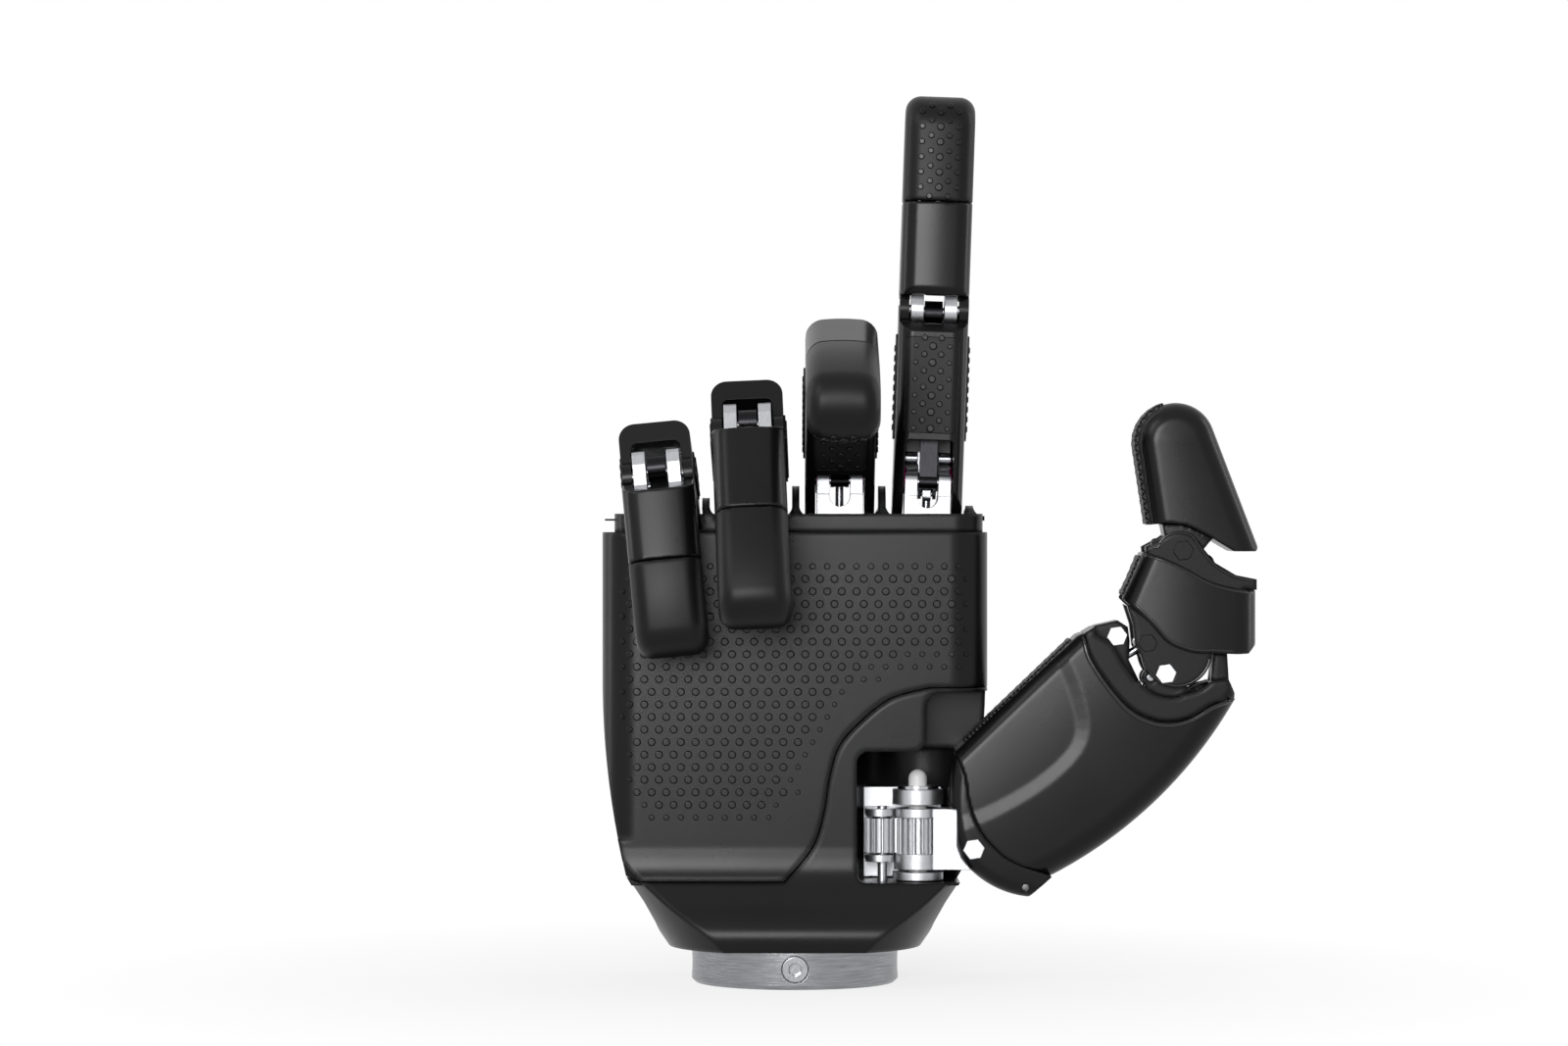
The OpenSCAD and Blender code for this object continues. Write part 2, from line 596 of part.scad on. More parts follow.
module thumb_end_cap() color(black) difference() {
    cap_body();
    in_thumb(-thumb_t / 2 + wall, thumb_t / 2 - wall) polygon(smooth([[40, 40], [37.4, 33],
        [40.6, 26.6], [46.4, 23], [50, 22.4], [52, 30], [46, 36], [41, 46]]));
    hub_pocket();
    in_thumb(-thumb_t, neck_t / 2) translate([20, hub_z[0] - 0.3])
        square([hub_arm_x - 20 - 3.6, hub_z[1] - hub_z[0] + 0.6]);
    thumb_bore(base_hex, 2.1);
    thumb_bore([49.6, 21.6], 1.6);
}
module thumb_metacarpal() color(black) difference() {
    metacarpal_body();
    thumb_hollow();
    along_rod() translate([0, 0, -12]) cylinder(d = thumb_drive_d + 0.5, h = 14);
    hub_pocket();
}
// Neck: two cheeks that carry the flex pivot, seated in the metacarpal's mouth
module neck_view() polygon(concat(
    [[62.3, 76.4], [64.8, 77.9], [69.6, 79], [71.8, 77.6], [72.2, 74.6], [72, 70.5]],
    smooth([[74.6, 65.2], [77.8, 63], [82.6, 62.6], [87, 65.4], [93.2, 66.4]]),
    [[94.6, 63.4]], [for (i = [0:len(rim_curve) - 2]) rim_curve[i] + [0, 0.12]]));
// What the lower lobes and the sleeve pass over while the thumb bends
module lobe_sweep() {
    for (c = [[83.2, 71.4], [82.1, 72.2], [79.94, 72.74]]) translate(c) circle(lobe_r + 0.6);
    polygon([[73.4, 65.8], [70.6, 69.6], [68.2, 73.9], [64.6, 76], [63.6, 82], [84, 84], [84, 70]]);
}
neck_face = thumb_t / 2 - 0.5;
neck_tail = [[66, 70], [72, 61.5], [78, 58.6], [86, 60], [82, 50], [70, 50], [62, 62]];
module thumb_neck() color(black) difference() {
    union() {
        intersection() {
            in_thumb(-neck_face, neck_face) difference() {
                neck_view();
                lobe_sweep();
            }
            thumb_disc(outer_c + [0.2, 0], outer_r, 5);
        }
        in_thumb(-neck_t / 2, neck_t / 2) {
            neck_view();
            translate(p1) circle(3.4);
            translate(link_a) circle(1.9);
            polygon([[74, 60], [86, 62], p1 + [3.4, 0], p1 - [3.4, 0]]);
            polygon([[89.6, 65], [90.4, 72], [93.2, 72], [93.6, 65.4]]);
            polygon(neck_tail);
        }
        in_thumb(-thumb_t / 2 + wall, thumb_t / 2 - wall) intersection() {
            polygon(neck_tail);
            translate([60, 50.2]) square([40, 7.5]);
        }
    }
    in_thumb(-rod_slot / 2, rod_slot / 2) polygon([[56, 46], [58, 76], [70, 74.4], [72, 80], [90, 84], [90, 64], [84, 46]]);
    thumb_bore(p1, 2.5 + 0.02);
    thumb_bore(lug_p, 2 + 0.02);
    thumb_bore(link_a, coupler_pin_d + 0.02);
}
rod_slot = 4.4;
rod_dir = 31;
lever = 7.4;
lever_mid = rod_dir + 90;
rod_pin = p1 + lever * [cos(lever_mid), sin(lever_mid)];
thumb_rod_d = 1.8;
rod_side = -1.15;
link_side = [0.1, 2];
drive_nose = rod_pin - 19 * [cos(rod_dir), sin(rod_dir)];
module along_rod() {
    translate([drive_nose[0], -swing_y + rod_side, drive_nose[1]]) rotate([0, 90 - rod_dir, 0]) children();
}
thumb_drive_d = 8;
module thumb_drive() color([0.2, 0.2, 0.22]) along_rod() difference() {
    union() {
        translate([0, 0, -11]) cylinder(d = thumb_drive_d, h = 7);
        translate([0, 0, -4]) cylinder(d = 6.4, h = 4);
    }
    translate([0, 0, -9.5]) cylinder(d = thumb_rod_d + 0.6, h = 20);
}
rod_eye = 0.75;
module thumb_rod() color(steel) {
    along_rod() translate([0, 0, -5.5]) cylinder(d = thumb_rod_d, h = 22.3);
    in_thumb(rod_side - 0.9, rod_side + 0.9) translate(rod_pin) rotate(rod_dir) difference() {
        round_rect(-2.4, 2, -2.9, 2.4, 1, 1);
        round_rect(-crank_pin_d / 2 - 0.25, crank_pin_d / 2 + 0.25, -crank_pin_d / 2 - rod_eye,
            crank_pin_d / 2 + 0.25, crank_pin_d / 2, crank_pin_d / 2);
    }
}
neck_side = 1;
cheek_in = neck_t / 2 + pass;
link_a = p1 + [-3.1, -0.9];
link_b = p2 + [2.5, 0.3];
thumb_link_offset = [-0.12, -0.04];
thumb_link_play = 0.42;
// Cuts the coupling link's space out of a pin
module link_free() difference() {
    children();
    in_thumb(link_side[0] - pass, link_side[1] + pass) square([120, 120]);
}
module thumb_pins() color(bright) {
    link_free() thumb_axle(p1, pin_d, thumb_t - 2 * neck_side);
    thumb_axle(lug_p, 2, neck_t + 0.3);
    thumb_axle(link_a, coupler_pin_d, neck_t);
    thumb_axle(base_hex, 2, thumb_t);
    hex_head(base_hex, 0.5);
}
sleeve_top = smooth([[74.8, 93.8], [79, 92.6], [83.8, 90.4], [89, 87.6], [94, 86.2], [99.4, 85.6]]);
sleeve_low = smooth([[94.8, 71.8], [90, 72], [85.3, 72.2], [80.2, 74.2], [76.1, 78.6], [71.7, 82.6]]);
module sleeve_view() {
    polygon(concat(sleeve_top, [[99.3, 73.8], [97.6, 71.9]], sleeve_low, [[70.4, 83.8], [72.4, 88]]));
}
module sleeve_window() polygon([[72.65, 84.2], [78.7, 98], [96.4, 98], [96.4, 60], [73.6, 60], [73.6, 80]]);
module sleeve_body() intersection() {
    in_thumb(-thumb_t / 2, thumb_t / 2) sleeve_view();
    thumb_edge([99.35, 70], 90, 5);
    thumb_edge([74.8, 93.8], 246.25, 3.5);
}
lobe_c = [82.1, 72.2];
lobe_r = 7.6;
module lower_lobe_view() {
    translate(lobe_c) circle(lobe_r);
    polygon([[74.6, 71], [73.3, 73.5], [72.8, 78.1], [71.4, 82.4], [76.1, 80], [85.3, 76.4], [90, 75.4],
        [89.2, 70]]);
}
module upper_lobe_view() {
    translate(p2 - [0.9, 1.3]) circle(5.4);
    polygon([[75.4, 94.9], [80, 97.4], [86.6, 96], [90.4, 91.4], [94.8, 88.8], [99.3, 87.9], [99.3, 85],
        [88, 84], [76, 88]]);
}
module thumb_proximal() color(black) {
    for (s = [-1, 1]) in_thumb(s < 0 ? -thumb_t / 2 + neck_side : cheek_in,
            s < 0 ? -cheek_in : thumb_t / 2 - neck_side) difference() {
        union() {
            lower_lobe_view();
            upper_lobe_view();
            polygon([[74, 82], [92, 76], [96, 86], [78, 92]]);
        }
        translate(p1) circle(pin_d / 2 + running);
        difference() {
            sleeve_view();
            sleeve_window();
        }
    }
    thumb_axle(rod_pin, crank_pin_d, thumb_t - 2 * neck_side - 0.2);
    link_free() thumb_axle(p2, pin_d, thumb_t - 2 * neck_side - 0.2);
}
module thumb_sleeve() color(black) difference() {
    sleeve_body();
    in_thumb(-thumb_t / 2 + neck_side, thumb_t / 2 - neck_side) sleeve_window();
    in_thumb(-cheek_in, cheek_in) translate([66, 66]) square([20, 18.8]);
}
// Link between the metacarpal neck and the fingertip
module thumb_coupler() color(steel) in_thumb(link_side[0], link_side[1]) difference() {
    top = link_b + thumb_link_offset;
    n = [top[1] - link_a[1], link_a[0] - top[0]] / norm(top - link_a);
    union() {
        translate(link_a) circle(1.4);
        translate(top) circle(link_pin_d / 2 + thumb_link_play + 0.8);
        polygon([link_a - n, link_a + n, top + n, top - n]);
    }
    translate(link_a) circle(coupler_pin_d / 2 + running);
    translate(top) circle(link_pin_d / 2 + thumb_link_play);
}
tip_end_c = [82.1, 117.4];
tip_end_r = 8.5;
tip_back_angle = 110.9;
tip_pad_angle = 98.6;
tip_corner = 4.2;
tip_low = smooth([[94.4, 93.9], [91, 95.9], [88.2, 97.6], [84, 99.5], [80.2, 99.9], [76.2, 99.6]]);
tip_inner = smooth([[76.2, 99.6], [75.2, 104.5], [74.5, 109], [73.6, 116.5], [74.3, 121], [77.4, 124.2]]);
module thumb_distal_view() polygon(concat([[99.3, 93.9]], tip_low,
    [[70, 99.4], [68, 130], [100, 130], [106, 96], [100, 95.2]]));
module thumb_tip_body() {
    back = tip_end_c + tip_end_r * [sin(tip_back_angle), -cos(tip_back_angle)];
    inner = tip_end_c - tip_end_r * [sin(tip_pad_angle), -cos(tip_pad_angle)];
    thumb_disc(tip_end_c, tip_end_r, tip_corner);
    intersection() {
        in_thumb(-thumb_t, thumb_t) polygon([tip_end_c, 2 * back - tip_end_c, [120, 80], [60, 80],
            2 * inner - tip_end_c]);
        thumb_edge(back, tip_back_angle, tip_corner);
        thumb_edge(inner, tip_pad_angle + 180, tip_corner);
    }
}
pad_t = 1.4;
module pad_view(gap = 0) polygon(concat(
    [for (i = [len(tip_inner) - 1:-1:0]) tip_inner[i] + [pad_t - gap, -0.35]],
    [[77.4, 98], [70, 98], [68, 128], [77, 128]]));
module thumb_tip_side(side, inset) intersection() {
    in_thumb(-thumb_t / 2 + inset, thumb_t / 2 - inset) intersection() {
        thumb_distal_view();
        pad_view(side);
    }
    thumb_tip_body();
}
module thumb_distal() color(black) difference() {
    union() {
        difference() {
            intersection() {
                in_thumb(-thumb_t / 2, thumb_t / 2) thumb_distal_view();
                thumb_tip_body();
            }
            in_thumb(-thumb_t / 2 + 2, thumb_t / 2 - 2) pad_view();
        }
        in_thumb(-neck_t / 2, neck_t / 2) {
            translate(p2) circle(3.2);
            polygon([p2 + [-3.2, 0], p2 + [3.6, -1], [90.4, 97], [79, 101]]);
            translate(link_b) circle(1.7);
        }
    }
    difference() {
        in_thumb(link_side[0] - pass, link_side[1] + pass) {
            translate(link_b) circle(4.6);
            polygon([link_b + [-1, 3], link_b + [6, 0], p2 + [3, -6], p2 + [-5, -6], p2 + [-5, -1]]);
        }
        thumb_axle(link_b, link_pin_d, neck_t);
    }
    thumb_bore(p2, pin_d + 2 * running);
}
module thumb_pad() color(grip_black) thumb_tip_side(0.05, 2.05);

// ---------------------------------------------------------------- fingers
corner = 3.4;
cavity_w = clevis_w + 2 * pass;
joint_y = joint_depth - finger_front;
distal_back = finger_front + finger_back - joint_depth;
curl_max = 74;
trunnion_d = 2;
ear_out = 3.2;
link_pin_d = 1.5;
link_b_at = [2.6, -0.3];
link_offset = [0.92, -0.32];
link_play = 1.06;
link_ratio = [1.11, 1.11, 1.11, 1.13];
crank_r = 4.5;
crank_half = curl_max / 2;
crank_pin = crank_r * [cos(crank_half), -sin(crank_half)];
crank_pin_d = 1.4;
fork_gap = rod_d + 0.7;
crank_w = clevis_gap - 0.6;
grip_t = 0.8;
band_h = 3.6;
band_y = 3.3;
window_top = 8.9;

function rod_lift(f) = crank_r * sin(crank_half) * (knuckle_rest[f] / crank_half - 1);

module proximal_view(l) {
    circle(finger_front, $fn = 96);
    polygon([[-finger_front, 0], [-finger_front, l - 4.9], [-finger_front + 2, l - 2.7],
        [joint_y - 1.6, l - 2.7], [joint_y + 2.4, l + 0.9], [finger_back, l + 0.9], [finger_back, 0]]);
}
module finger_prism(z0, z1, inset = 0, y0 = -finger_front, y1 = finger_back) {
    translate([0, 0, z0]) linear_extrude(z1 - z0) round_rect(-finger_w / 2 + inset, finger_w / 2 - inset,
        y0 + inset, y1 - inset, corner - inset, corner - inset, $fn = 48);
}
module proximal_shell(f) color(black) proximal_place(f) {
    l = finger_l1[f];
    difference() {
        union() {
            intersection() {
                finger_prism(-finger_front, l + 3);
                side(finger_w + 1) proximal_view(l);
            }
            for (s = [-1, 1]) translate([s * (finger_w / 2 + cavity_w / 2) / 2, joint_y, l])
                axle(2 * ear_out, (finger_w - cavity_w) / 2 - 0.2);
        }
        translate([0, 0, -20]) linear_extrude(l + 20 - band_h) round_rect(-cavity_w / 2, cavity_w / 2,
            -finger_front + 1.6, finger_back - 1.6, 1, 0.6);
        translate([0, 0, l - band_h - 0.5]) linear_extrude(20) round_rect(-cavity_w / 2, cavity_w / 2,
            -finger_front + 1.6, band_y, 1, 1.5);
        front(-20, 0) round_rect(-cavity_w / 2, cavity_w / 2, -20, window_top, 1, 1.2);
        translate([-cavity_w / 2, 0, -20]) cube([cavity_w, 20, 17.8]);
        axle(pin_d + 2 * running, 30);
        translate([0, joint_y, l]) axle(trunnion_d + 2 * running, 30);
        grip_recess(l, 0);
    }
}
module grip_recess(l, gap) {
    front(-finger_front - 1, -finger_front + grip_t - gap)
        round_rect(-5.7 + gap, 5.7 - gap, window_top + 1.4 + gap, l - 6 - gap, 1.2, 1.2);
}
module finger_grip(f) color(grip_black) proximal_place(f) {
    l = finger_l1[f];
    intersection() {
        front(-finger_front, -finger_front + grip_t) round_rect(-5.65, 5.65, window_top + 1.45, l - 6.05, 1.2, 1.2);
        finger_prism(0, l);
    }
    for (s = [-1, 1]) translate([s * (finger_w / 2 + 0.2), 0, 0])
        side(0.4) round_rect(-3.3, 2.6, window_top, l - 5.4, 1.2, 1.2);
}
module finger_crank(f) color(bright) proximal_place(f) difference() {
    union() {
        side(crank_w) {
            circle(1.85);
            translate(crank_pin) circle(1.3);
            polygon([[0, -1.85], [crank_pin[0], crank_pin[1] - 1.3], [crank_pin[0] + 1.2, crank_pin[1] - 0.4],
                [finger_back - 1.6, -0.6], [finger_back - 1.6, 6.2], [finger_back - 3.2, 6.2],
                [finger_back - 3.2, 1.8], [0, 1.85]]);
        }
        for (s = [-1, 1]) translate([s * (clevis_w + clevis_gap) / 4, 0, 0])
            side((clevis_w - clevis_gap) / 2) {
                translate([2.2, 4.9]) circle(1.4);
                translate([2.2, 3.5]) square([finger_back - 4.1, 2.8]);
            }
        side(clevis_w - 0.6) translate([finger_back - 3.2, 3.5]) square([1.6, 2.8]);
    }
    difference() {
        side(fork_gap) translate([-10, -20]) square([finger_back - 1.9 + 10, 23.4]);
        translate([0, crank_pin[0], crank_pin[1]]) axle(crank_pin_d, fork_gap);
    }
    axle(pin_d + 0.02, 30);
}
eye_y = crank_r * (1 - cos(crank_half)) / 2;
module finger_rod(f) color(steel) finger_place(f) translate([0, rod_y, rod_lift(f)]) {
    bottom = -(finger_z[f] - drive_top) - 6.6 - rod_lift(f) + rod_lift(f) + crank_r * sin(crank_half);
    difference() {
        union() {
            side(rod_d) round_rect(-crank_pin_d / 2 - eye_y - 0.75, crank_pin_d / 2 + eye_y + 0.75,
                -1.6, 1.5, 0.9, 0.9);
            translate([0, 0, bottom]) cylinder(d = rod_d, h = -bottom - 1.2);
        }
        side(rod_d + 1) round_rect(-crank_pin_d / 2 - eye_y - 0.12, crank_pin_d / 2 + eye_y + 0.12,
            -crank_pin_d / 2 - 0.2, crank_pin_d / 2 + 0.12, crank_pin_d / 2, crank_pin_d / 2);
    }
}
module finger_coupler(f) color([0.16, 0.16, 0.17]) finger_place(f) translate([0, coupler_a[0], coupler_a[1]])
    rotate([knuckle_rest[f] * link_ratio[f], 0, 0]) {
        top = [joint_y, finger_l1[f]] + link_b_at + link_offset - coupler_a;
        n = [top[1], -top[0]] / norm(top);
        eye_r = link_pin_d / 2 + link_play;
        side(clevis_gap - 0.7) difference() {
            union() {
                circle(1.45);
                translate(top) circle(eye_r + 0.9);
                polygon([n, top + n * 1.6 - [0, 2], top - n * 1.6 - [0, 2], -n]);
            }
            circle(coupler_pin_d / 2 + running);
            translate(top) circle(eye_r);
        }
    }
module distal_knuckle(f) color(bright) distal_place(f) difference() {
    union() {
        side(clevis_w) {
            circle(2.8);
            translate(link_b_at) circle(1.6);
            polygon([[-2.7, 0.8], [-1.2, 4], [-1.2, 9], [7, 9], [7, 4.2], [5.4, 2]]);
            polygon([[1, -2.6], [1, 3], [6, 3], [6, -1.6], [5, -3.8], [4, -4.6], [3, -4.6]]);
        }
        axle(trunnion_d, finger_w - 0.6);
    }
    difference() {
        side(clevis_gap) translate([-10, -10]) square([20, 15]);
        translate([0, link_b_at[0], link_b_at[1]]) axle(link_pin_d, clevis_gap + 1);
    }
}

// The back of the fingertip bends about back_c, the end about tip_c; both arcs are tangent.
back_bend = 20;
tip_r = 6.9;
tip_rise = finger_front + finger_back - tip_r;
back_r = (tip_rise * tip_rise - tip_r * tip_r + (back_bend - tip_r) * (back_bend - tip_r)) / (2 * (tip_rise - tip_r));
function back_c(l) = [distal_back - back_r, l - back_bend];
function tip_c(l) = [tip_r - joint_depth, l - tip_r];
module distal_outer(l) {
    c = back_c(l);
    t = tip_c(l);
    out = (t - c) / norm(t - c) * 20;
    intersection() {
        finger_prism(0, l, 0, -joint_depth, distal_back);
        side(finger_w + 1) polygon([[-1.6, 2.1], [-joint_depth, 4.7], [-joint_depth - 1, 5.5],
            [-joint_depth - 1, l - back_bend], [distal_back + 1, l - back_bend], [distal_back + 1, 5.4],
            [3.4, 2.1]]);
    }
    intersection() {
        translate([0, -joint_depth, l - back_bend]) translate([0, 0, 0]) linear_extrude(back_bend)
            round_rect(-finger_w / 2, finger_w / 2, 0, 30, corner, corner, $fn = 48);
        translate([0, c[0], c[1]]) rotate([0, 90, 0]) rim_disc(back_r, finger_w, corner);
        side(finger_w + 1) polygon([[-20, l - back_bend], [-20, t[1]], t, t + out, [40, l - back_bend]]);
    }
    intersection() {
        translate([0, t[0], t[1]]) rotate([0, 90, 0]) rim_disc(tip_r, finger_w, corner);
        side(finger_w + 1) polygon([[-20, t[1]], t, t + out, [20, l + 20], [-20, l + 20]]);
    }
}
function tip_split(l) = l * 0.5;
module distal_shell(f) color(black) distal_place(f) {
    l = finger_l2[f];
    split = tip_split(l);
    difference() {
        intersection() {
            distal_outer(l);
            translate([-20, -20, 0]) cube([40, 40, split]);
        }
        translate([0, 0, -1]) linear_extrude(split + 2) round_rect(-clevis_w / 2 - 0.2, clevis_w / 2 + 0.2,
            -joint_depth + 1.6, distal_back - 1.6, 1, 3);
        axle(2 * ear_out + 2 * pass, 30);
    }
}
module finger_tip(f) color(grip_black) distal_place(f) {
    l = finger_l2[f];
    split = tip_split(l);
    intersection() {
        distal_outer(l);
        translate([-20, -20, split + seam]) cube([40, 40, l]);
    }
    translate([0, 0, split - 4]) linear_extrude(4 + seam + 0.1) round_rect(-clevis_w / 2 + 0.1, clevis_w / 2 - 0.1,
        -joint_depth + 1.9, distal_back - 2.4, 1, 3);
}

wrist_ring();
ring_screws();
palm_chassis();
palm_shell();
palm_cover();
knuckle_frame();
knuckle_clevises();
knuckle_pins();
finger_drives();
control_board();
cover_screws();
thumb_gear_frame();
thumb_swing_motor();
swing_pinion();
thumb_bushes();
thumb_shaft();
thumb_hub();
thumb_end_cap();
thumb_metacarpal();
thumb_neck();
thumb_drive();
thumb_rod();
thumb_pins();
thumb_proximal();
thumb_sleeve();
thumb_coupler();
thumb_distal();
thumb_pad();
proximal_shell(INDEX);  // index_proximal
finger_grip(INDEX);  // index_grip
finger_crank(INDEX);  // index_crank
finger_rod(INDEX);  // index_rod
finger_coupler(INDEX);  // index_coupler
distal_knuckle(INDEX);  // index_knuckle
distal_shell(INDEX);  // index_distal
finger_tip(INDEX);  // index_tip
proximal_shell(MIDDLE);  // middle_proximal
finger_grip(MIDDLE);  // middle_grip
finger_crank(MIDDLE);  // middle_crank
finger_rod(MIDDLE);  // middle_rod
finger_coupler(MIDDLE);  // middle_coupler
distal_knuckle(MIDDLE);  // middle_knuckle
distal_shell(MIDDLE);  // middle_distal
finger_tip(MIDDLE);  // middle_tip
proximal_shell(RING);  // ring_proximal
finger_grip(RING);  // ring_grip
finger_crank(RING);  // ring_crank
finger_rod(RING);  // ring_rod
finger_coupler(RING);  // ring_coupler
distal_knuckle(RING);  // ring_knuckle
distal_shell(RING);  // ring_distal
finger_tip(RING);  // ring_tip
proximal_shell(LITTLE);  // little_proximal
finger_grip(LITTLE);  // little_grip
finger_crank(LITTLE);  // little_crank
finger_rod(LITTLE);  // little_rod
finger_coupler(LITTLE);  // little_coupler
distal_knuckle(LITTLE);  // little_knuckle
distal_shell(LITTLE);  // little_distal
finger_tip(LITTLE);  // little_tip
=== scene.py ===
"""Dresses the robot hand: finishes, crowned shells, grip dots, trim and a plain studio."""

import json
import math

import bmesh
import bpy
from mathutils import Euler, Matrix, Vector
from mathutils.bvhtree import BVHTree


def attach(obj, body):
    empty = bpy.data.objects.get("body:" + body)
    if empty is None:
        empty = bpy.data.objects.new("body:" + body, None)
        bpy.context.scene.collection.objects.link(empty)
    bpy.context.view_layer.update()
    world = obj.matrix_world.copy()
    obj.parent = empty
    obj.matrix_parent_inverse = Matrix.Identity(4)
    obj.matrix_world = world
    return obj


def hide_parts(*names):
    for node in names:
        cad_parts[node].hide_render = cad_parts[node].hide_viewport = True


bl_info = {
    "name": "Robot hand dressing",
    "version": (1, 0, 0),
    "blender": (4, 5, 0),
    "location": "3D View > Sidebar > Hand",
    "description": "Adds finishes, crowned shells, grip dots and trim to the packed robot hand",
    "category": "Object",
}

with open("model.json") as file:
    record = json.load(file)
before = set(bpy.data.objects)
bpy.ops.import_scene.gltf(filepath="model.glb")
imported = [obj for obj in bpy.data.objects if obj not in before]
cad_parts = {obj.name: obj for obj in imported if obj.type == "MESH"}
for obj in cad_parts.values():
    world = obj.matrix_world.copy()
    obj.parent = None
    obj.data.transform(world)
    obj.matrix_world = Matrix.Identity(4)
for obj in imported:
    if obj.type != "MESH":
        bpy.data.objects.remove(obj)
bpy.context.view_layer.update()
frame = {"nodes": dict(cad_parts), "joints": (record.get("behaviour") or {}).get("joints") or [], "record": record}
MM = 0.001
FINGERS = ("index", "middle", "ring", "little")
JOINTS = {j["name"]: j for j in frame["joints"]}
CURL_RATIO = next(
    c["ratio"] for c in frame["record"]["behaviour"]["couplings"] if c["joint"] == "index_curl"
)


# ---------------------------------------------------------------- helpers


def linear(hex_code):
    """sRGB hex to the linear colour that Blender's sockets hold."""
    out = []
    for i in (1, 3, 5):
        c = int(hex_code[i : i + 2], 16) / 255
        out.append(c / 12.92 if c <= 0.04045 else ((c + 0.055) / 1.055) ** 2.4)
    return (*out, 1.0)


def add(tree, kind, links=None, **settings):
    """Adds one node. A setting names an attribute or an input socket, and links feed its inputs."""
    node = tree.nodes.new(kind)
    for key, value in settings.items():
        if hasattr(node, key):
            setattr(node, key, value)
        else:
            node.inputs[key.replace("_", " ")].default_value = value
    for key, source in (links or {}).items():
        tree.links.new(source, node.inputs[key])
    return node


def new_material(name, **sockets):
    """A Principled material with its plain values set on the sockets; returns it, its tree and shader."""
    mat = bpy.data.materials.new(name)
    mat.use_nodes = True
    shader = mat.node_tree.nodes["Principled BSDF"]
    for key, value in sockets.items():
        shader.inputs[key.replace("_", " ")].default_value = value
    return mat, mat.node_tree, shader


def per_metre(size_mm):
    """Scale of a pattern in object coordinates whose features are this many millimetres."""
    return 1 / (size_mm * MM)


def lower_frame(finger):
    """Matrix of a finger's lower segment at rest: origin on the knuckle axis, Z along the bone."""
    joint = JOINTS[finger + "_knuckle"]
    fan = math.atan2(-joint["axis"][2], joint["axis"][0])
    bend = -math.radians(joint["range_deg"][0])
    turn = Matrix.Rotation(fan, 4, "Y") @ Matrix.Rotation(bend, 4, "X")
    return Matrix.Translation(joint["pos_m"]) @ turn


def upper_frame(finger):
    """Matrix of a finger's upper segment at rest: origin on the second joint's axis."""
    joint = JOINTS[finger + "_curl"]
    fan = math.atan2(-joint["axis"][2], joint["axis"][0])
    bend = -math.radians(JOINTS[finger + "_knuckle"]["range_deg"][0]) * (1 + CURL_RATIO)
    turn = Matrix.Rotation(fan, 4, "Y") @ Matrix.Rotation(bend, 4, "X")
    return Matrix.Translation(joint["pos_m"]) @ turn


# Crowned shells that stand in for a CAD node, by the node's name.
SHELLS = {}
SHELL_BLACK = "ABS moulded black shell"


def surface_of(*nodes):
    """A search tree over the meshes of some CAD nodes, or of the shells that stand for them."""
    verts, faces = [], []
    for name in nodes:
        mesh = SHELLS.get(name, frame["nodes"][name]).data
        first = len(verts)
        verts += [v.co.copy() for v in mesh.vertices]
        faces += [[first + i for i in p.vertices] for p in mesh.polygons]
    return BVHTree.FromPolygons(verts, faces)


def make_piece(name, bm, material, body):
    """Turns a bmesh into an object with a finish that rides on a body."""
    mesh = bpy.data.meshes.new(name)
    bmesh.ops.recalc_face_normals(bm, faces=bm.faces)
    bm.to_mesh(mesh)
    bm.free()
    obj = bpy.data.objects.new(name, mesh)
    bpy.context.scene.collection.objects.link(obj)
    mesh.materials.append(bpy.data.materials[material])
    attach(obj, body)
    return obj


def ring_of(bm, matrix, radius, height, count):
    """Ring of vertices about the matrix's Z."""
    ring = []
    for i in range(count):
        angle = 2 * math.pi * i / count
        at = Vector((radius * math.cos(angle), radius * math.sin(angle), height))
        ring.append(bm.verts.new(matrix @ at))
    return ring


def bridge(bm, low, high, smooth=True):
    """Band of faces between two rings of equal count."""
    n = len(low)
    for i in range(n):
        face = bm.faces.new((low[i], low[(i + 1) % n], high[(i + 1) % n], high[i]))
        face.smooth = smooth


def turned(bm, matrix, profile, count=24):
    """Adds a closed turned body from (radius, height) pairs, in metres, about the matrix's Z."""
    rings = [ring_of(bm, matrix, r, h, count) for r, h in profile]
    for low, high in zip(rings, rings[1:]):
        bridge(bm, low, high)
    bm.faces.new(list(reversed(rings[0])))
    bm.faces.new(rings[-1])


def facing(normal):
    """Rotation that takes +Z to a direction."""
    return normal.to_track_quat("Z", "Y").to_matrix().to_4x4()


def even_copy(node, cell_mm):
    """The node's skin on an even net of small faces, as a bmesh."""
    source = bpy.data.objects.new("even", frame["nodes"][node].data.copy())
    bpy.context.scene.collection.objects.link(source)
    remesh = source.modifiers.new("Net", "REMESH")
    remesh.mode = "VOXEL"
    remesh.voxel_size = cell_mm * MM
    remesh.use_smooth_shade = True
    graph = bpy.context.evaluated_depsgraph_get()
    bm = bmesh.new()
    bm.from_mesh(source.evaluated_get(graph).to_mesh())
    old = source.data
    bpy.data.objects.remove(source)
    bpy.data.meshes.remove(old)
    return bm


# A face counts as turned along the axis from a slope of FACE_FROM, fully at FACE_FROM + FACE_OVER.
FACE_FROM = 0.2
FACE_OVER = 0.6
OPEN_START = 0.2
OPEN_REACH = 0.05


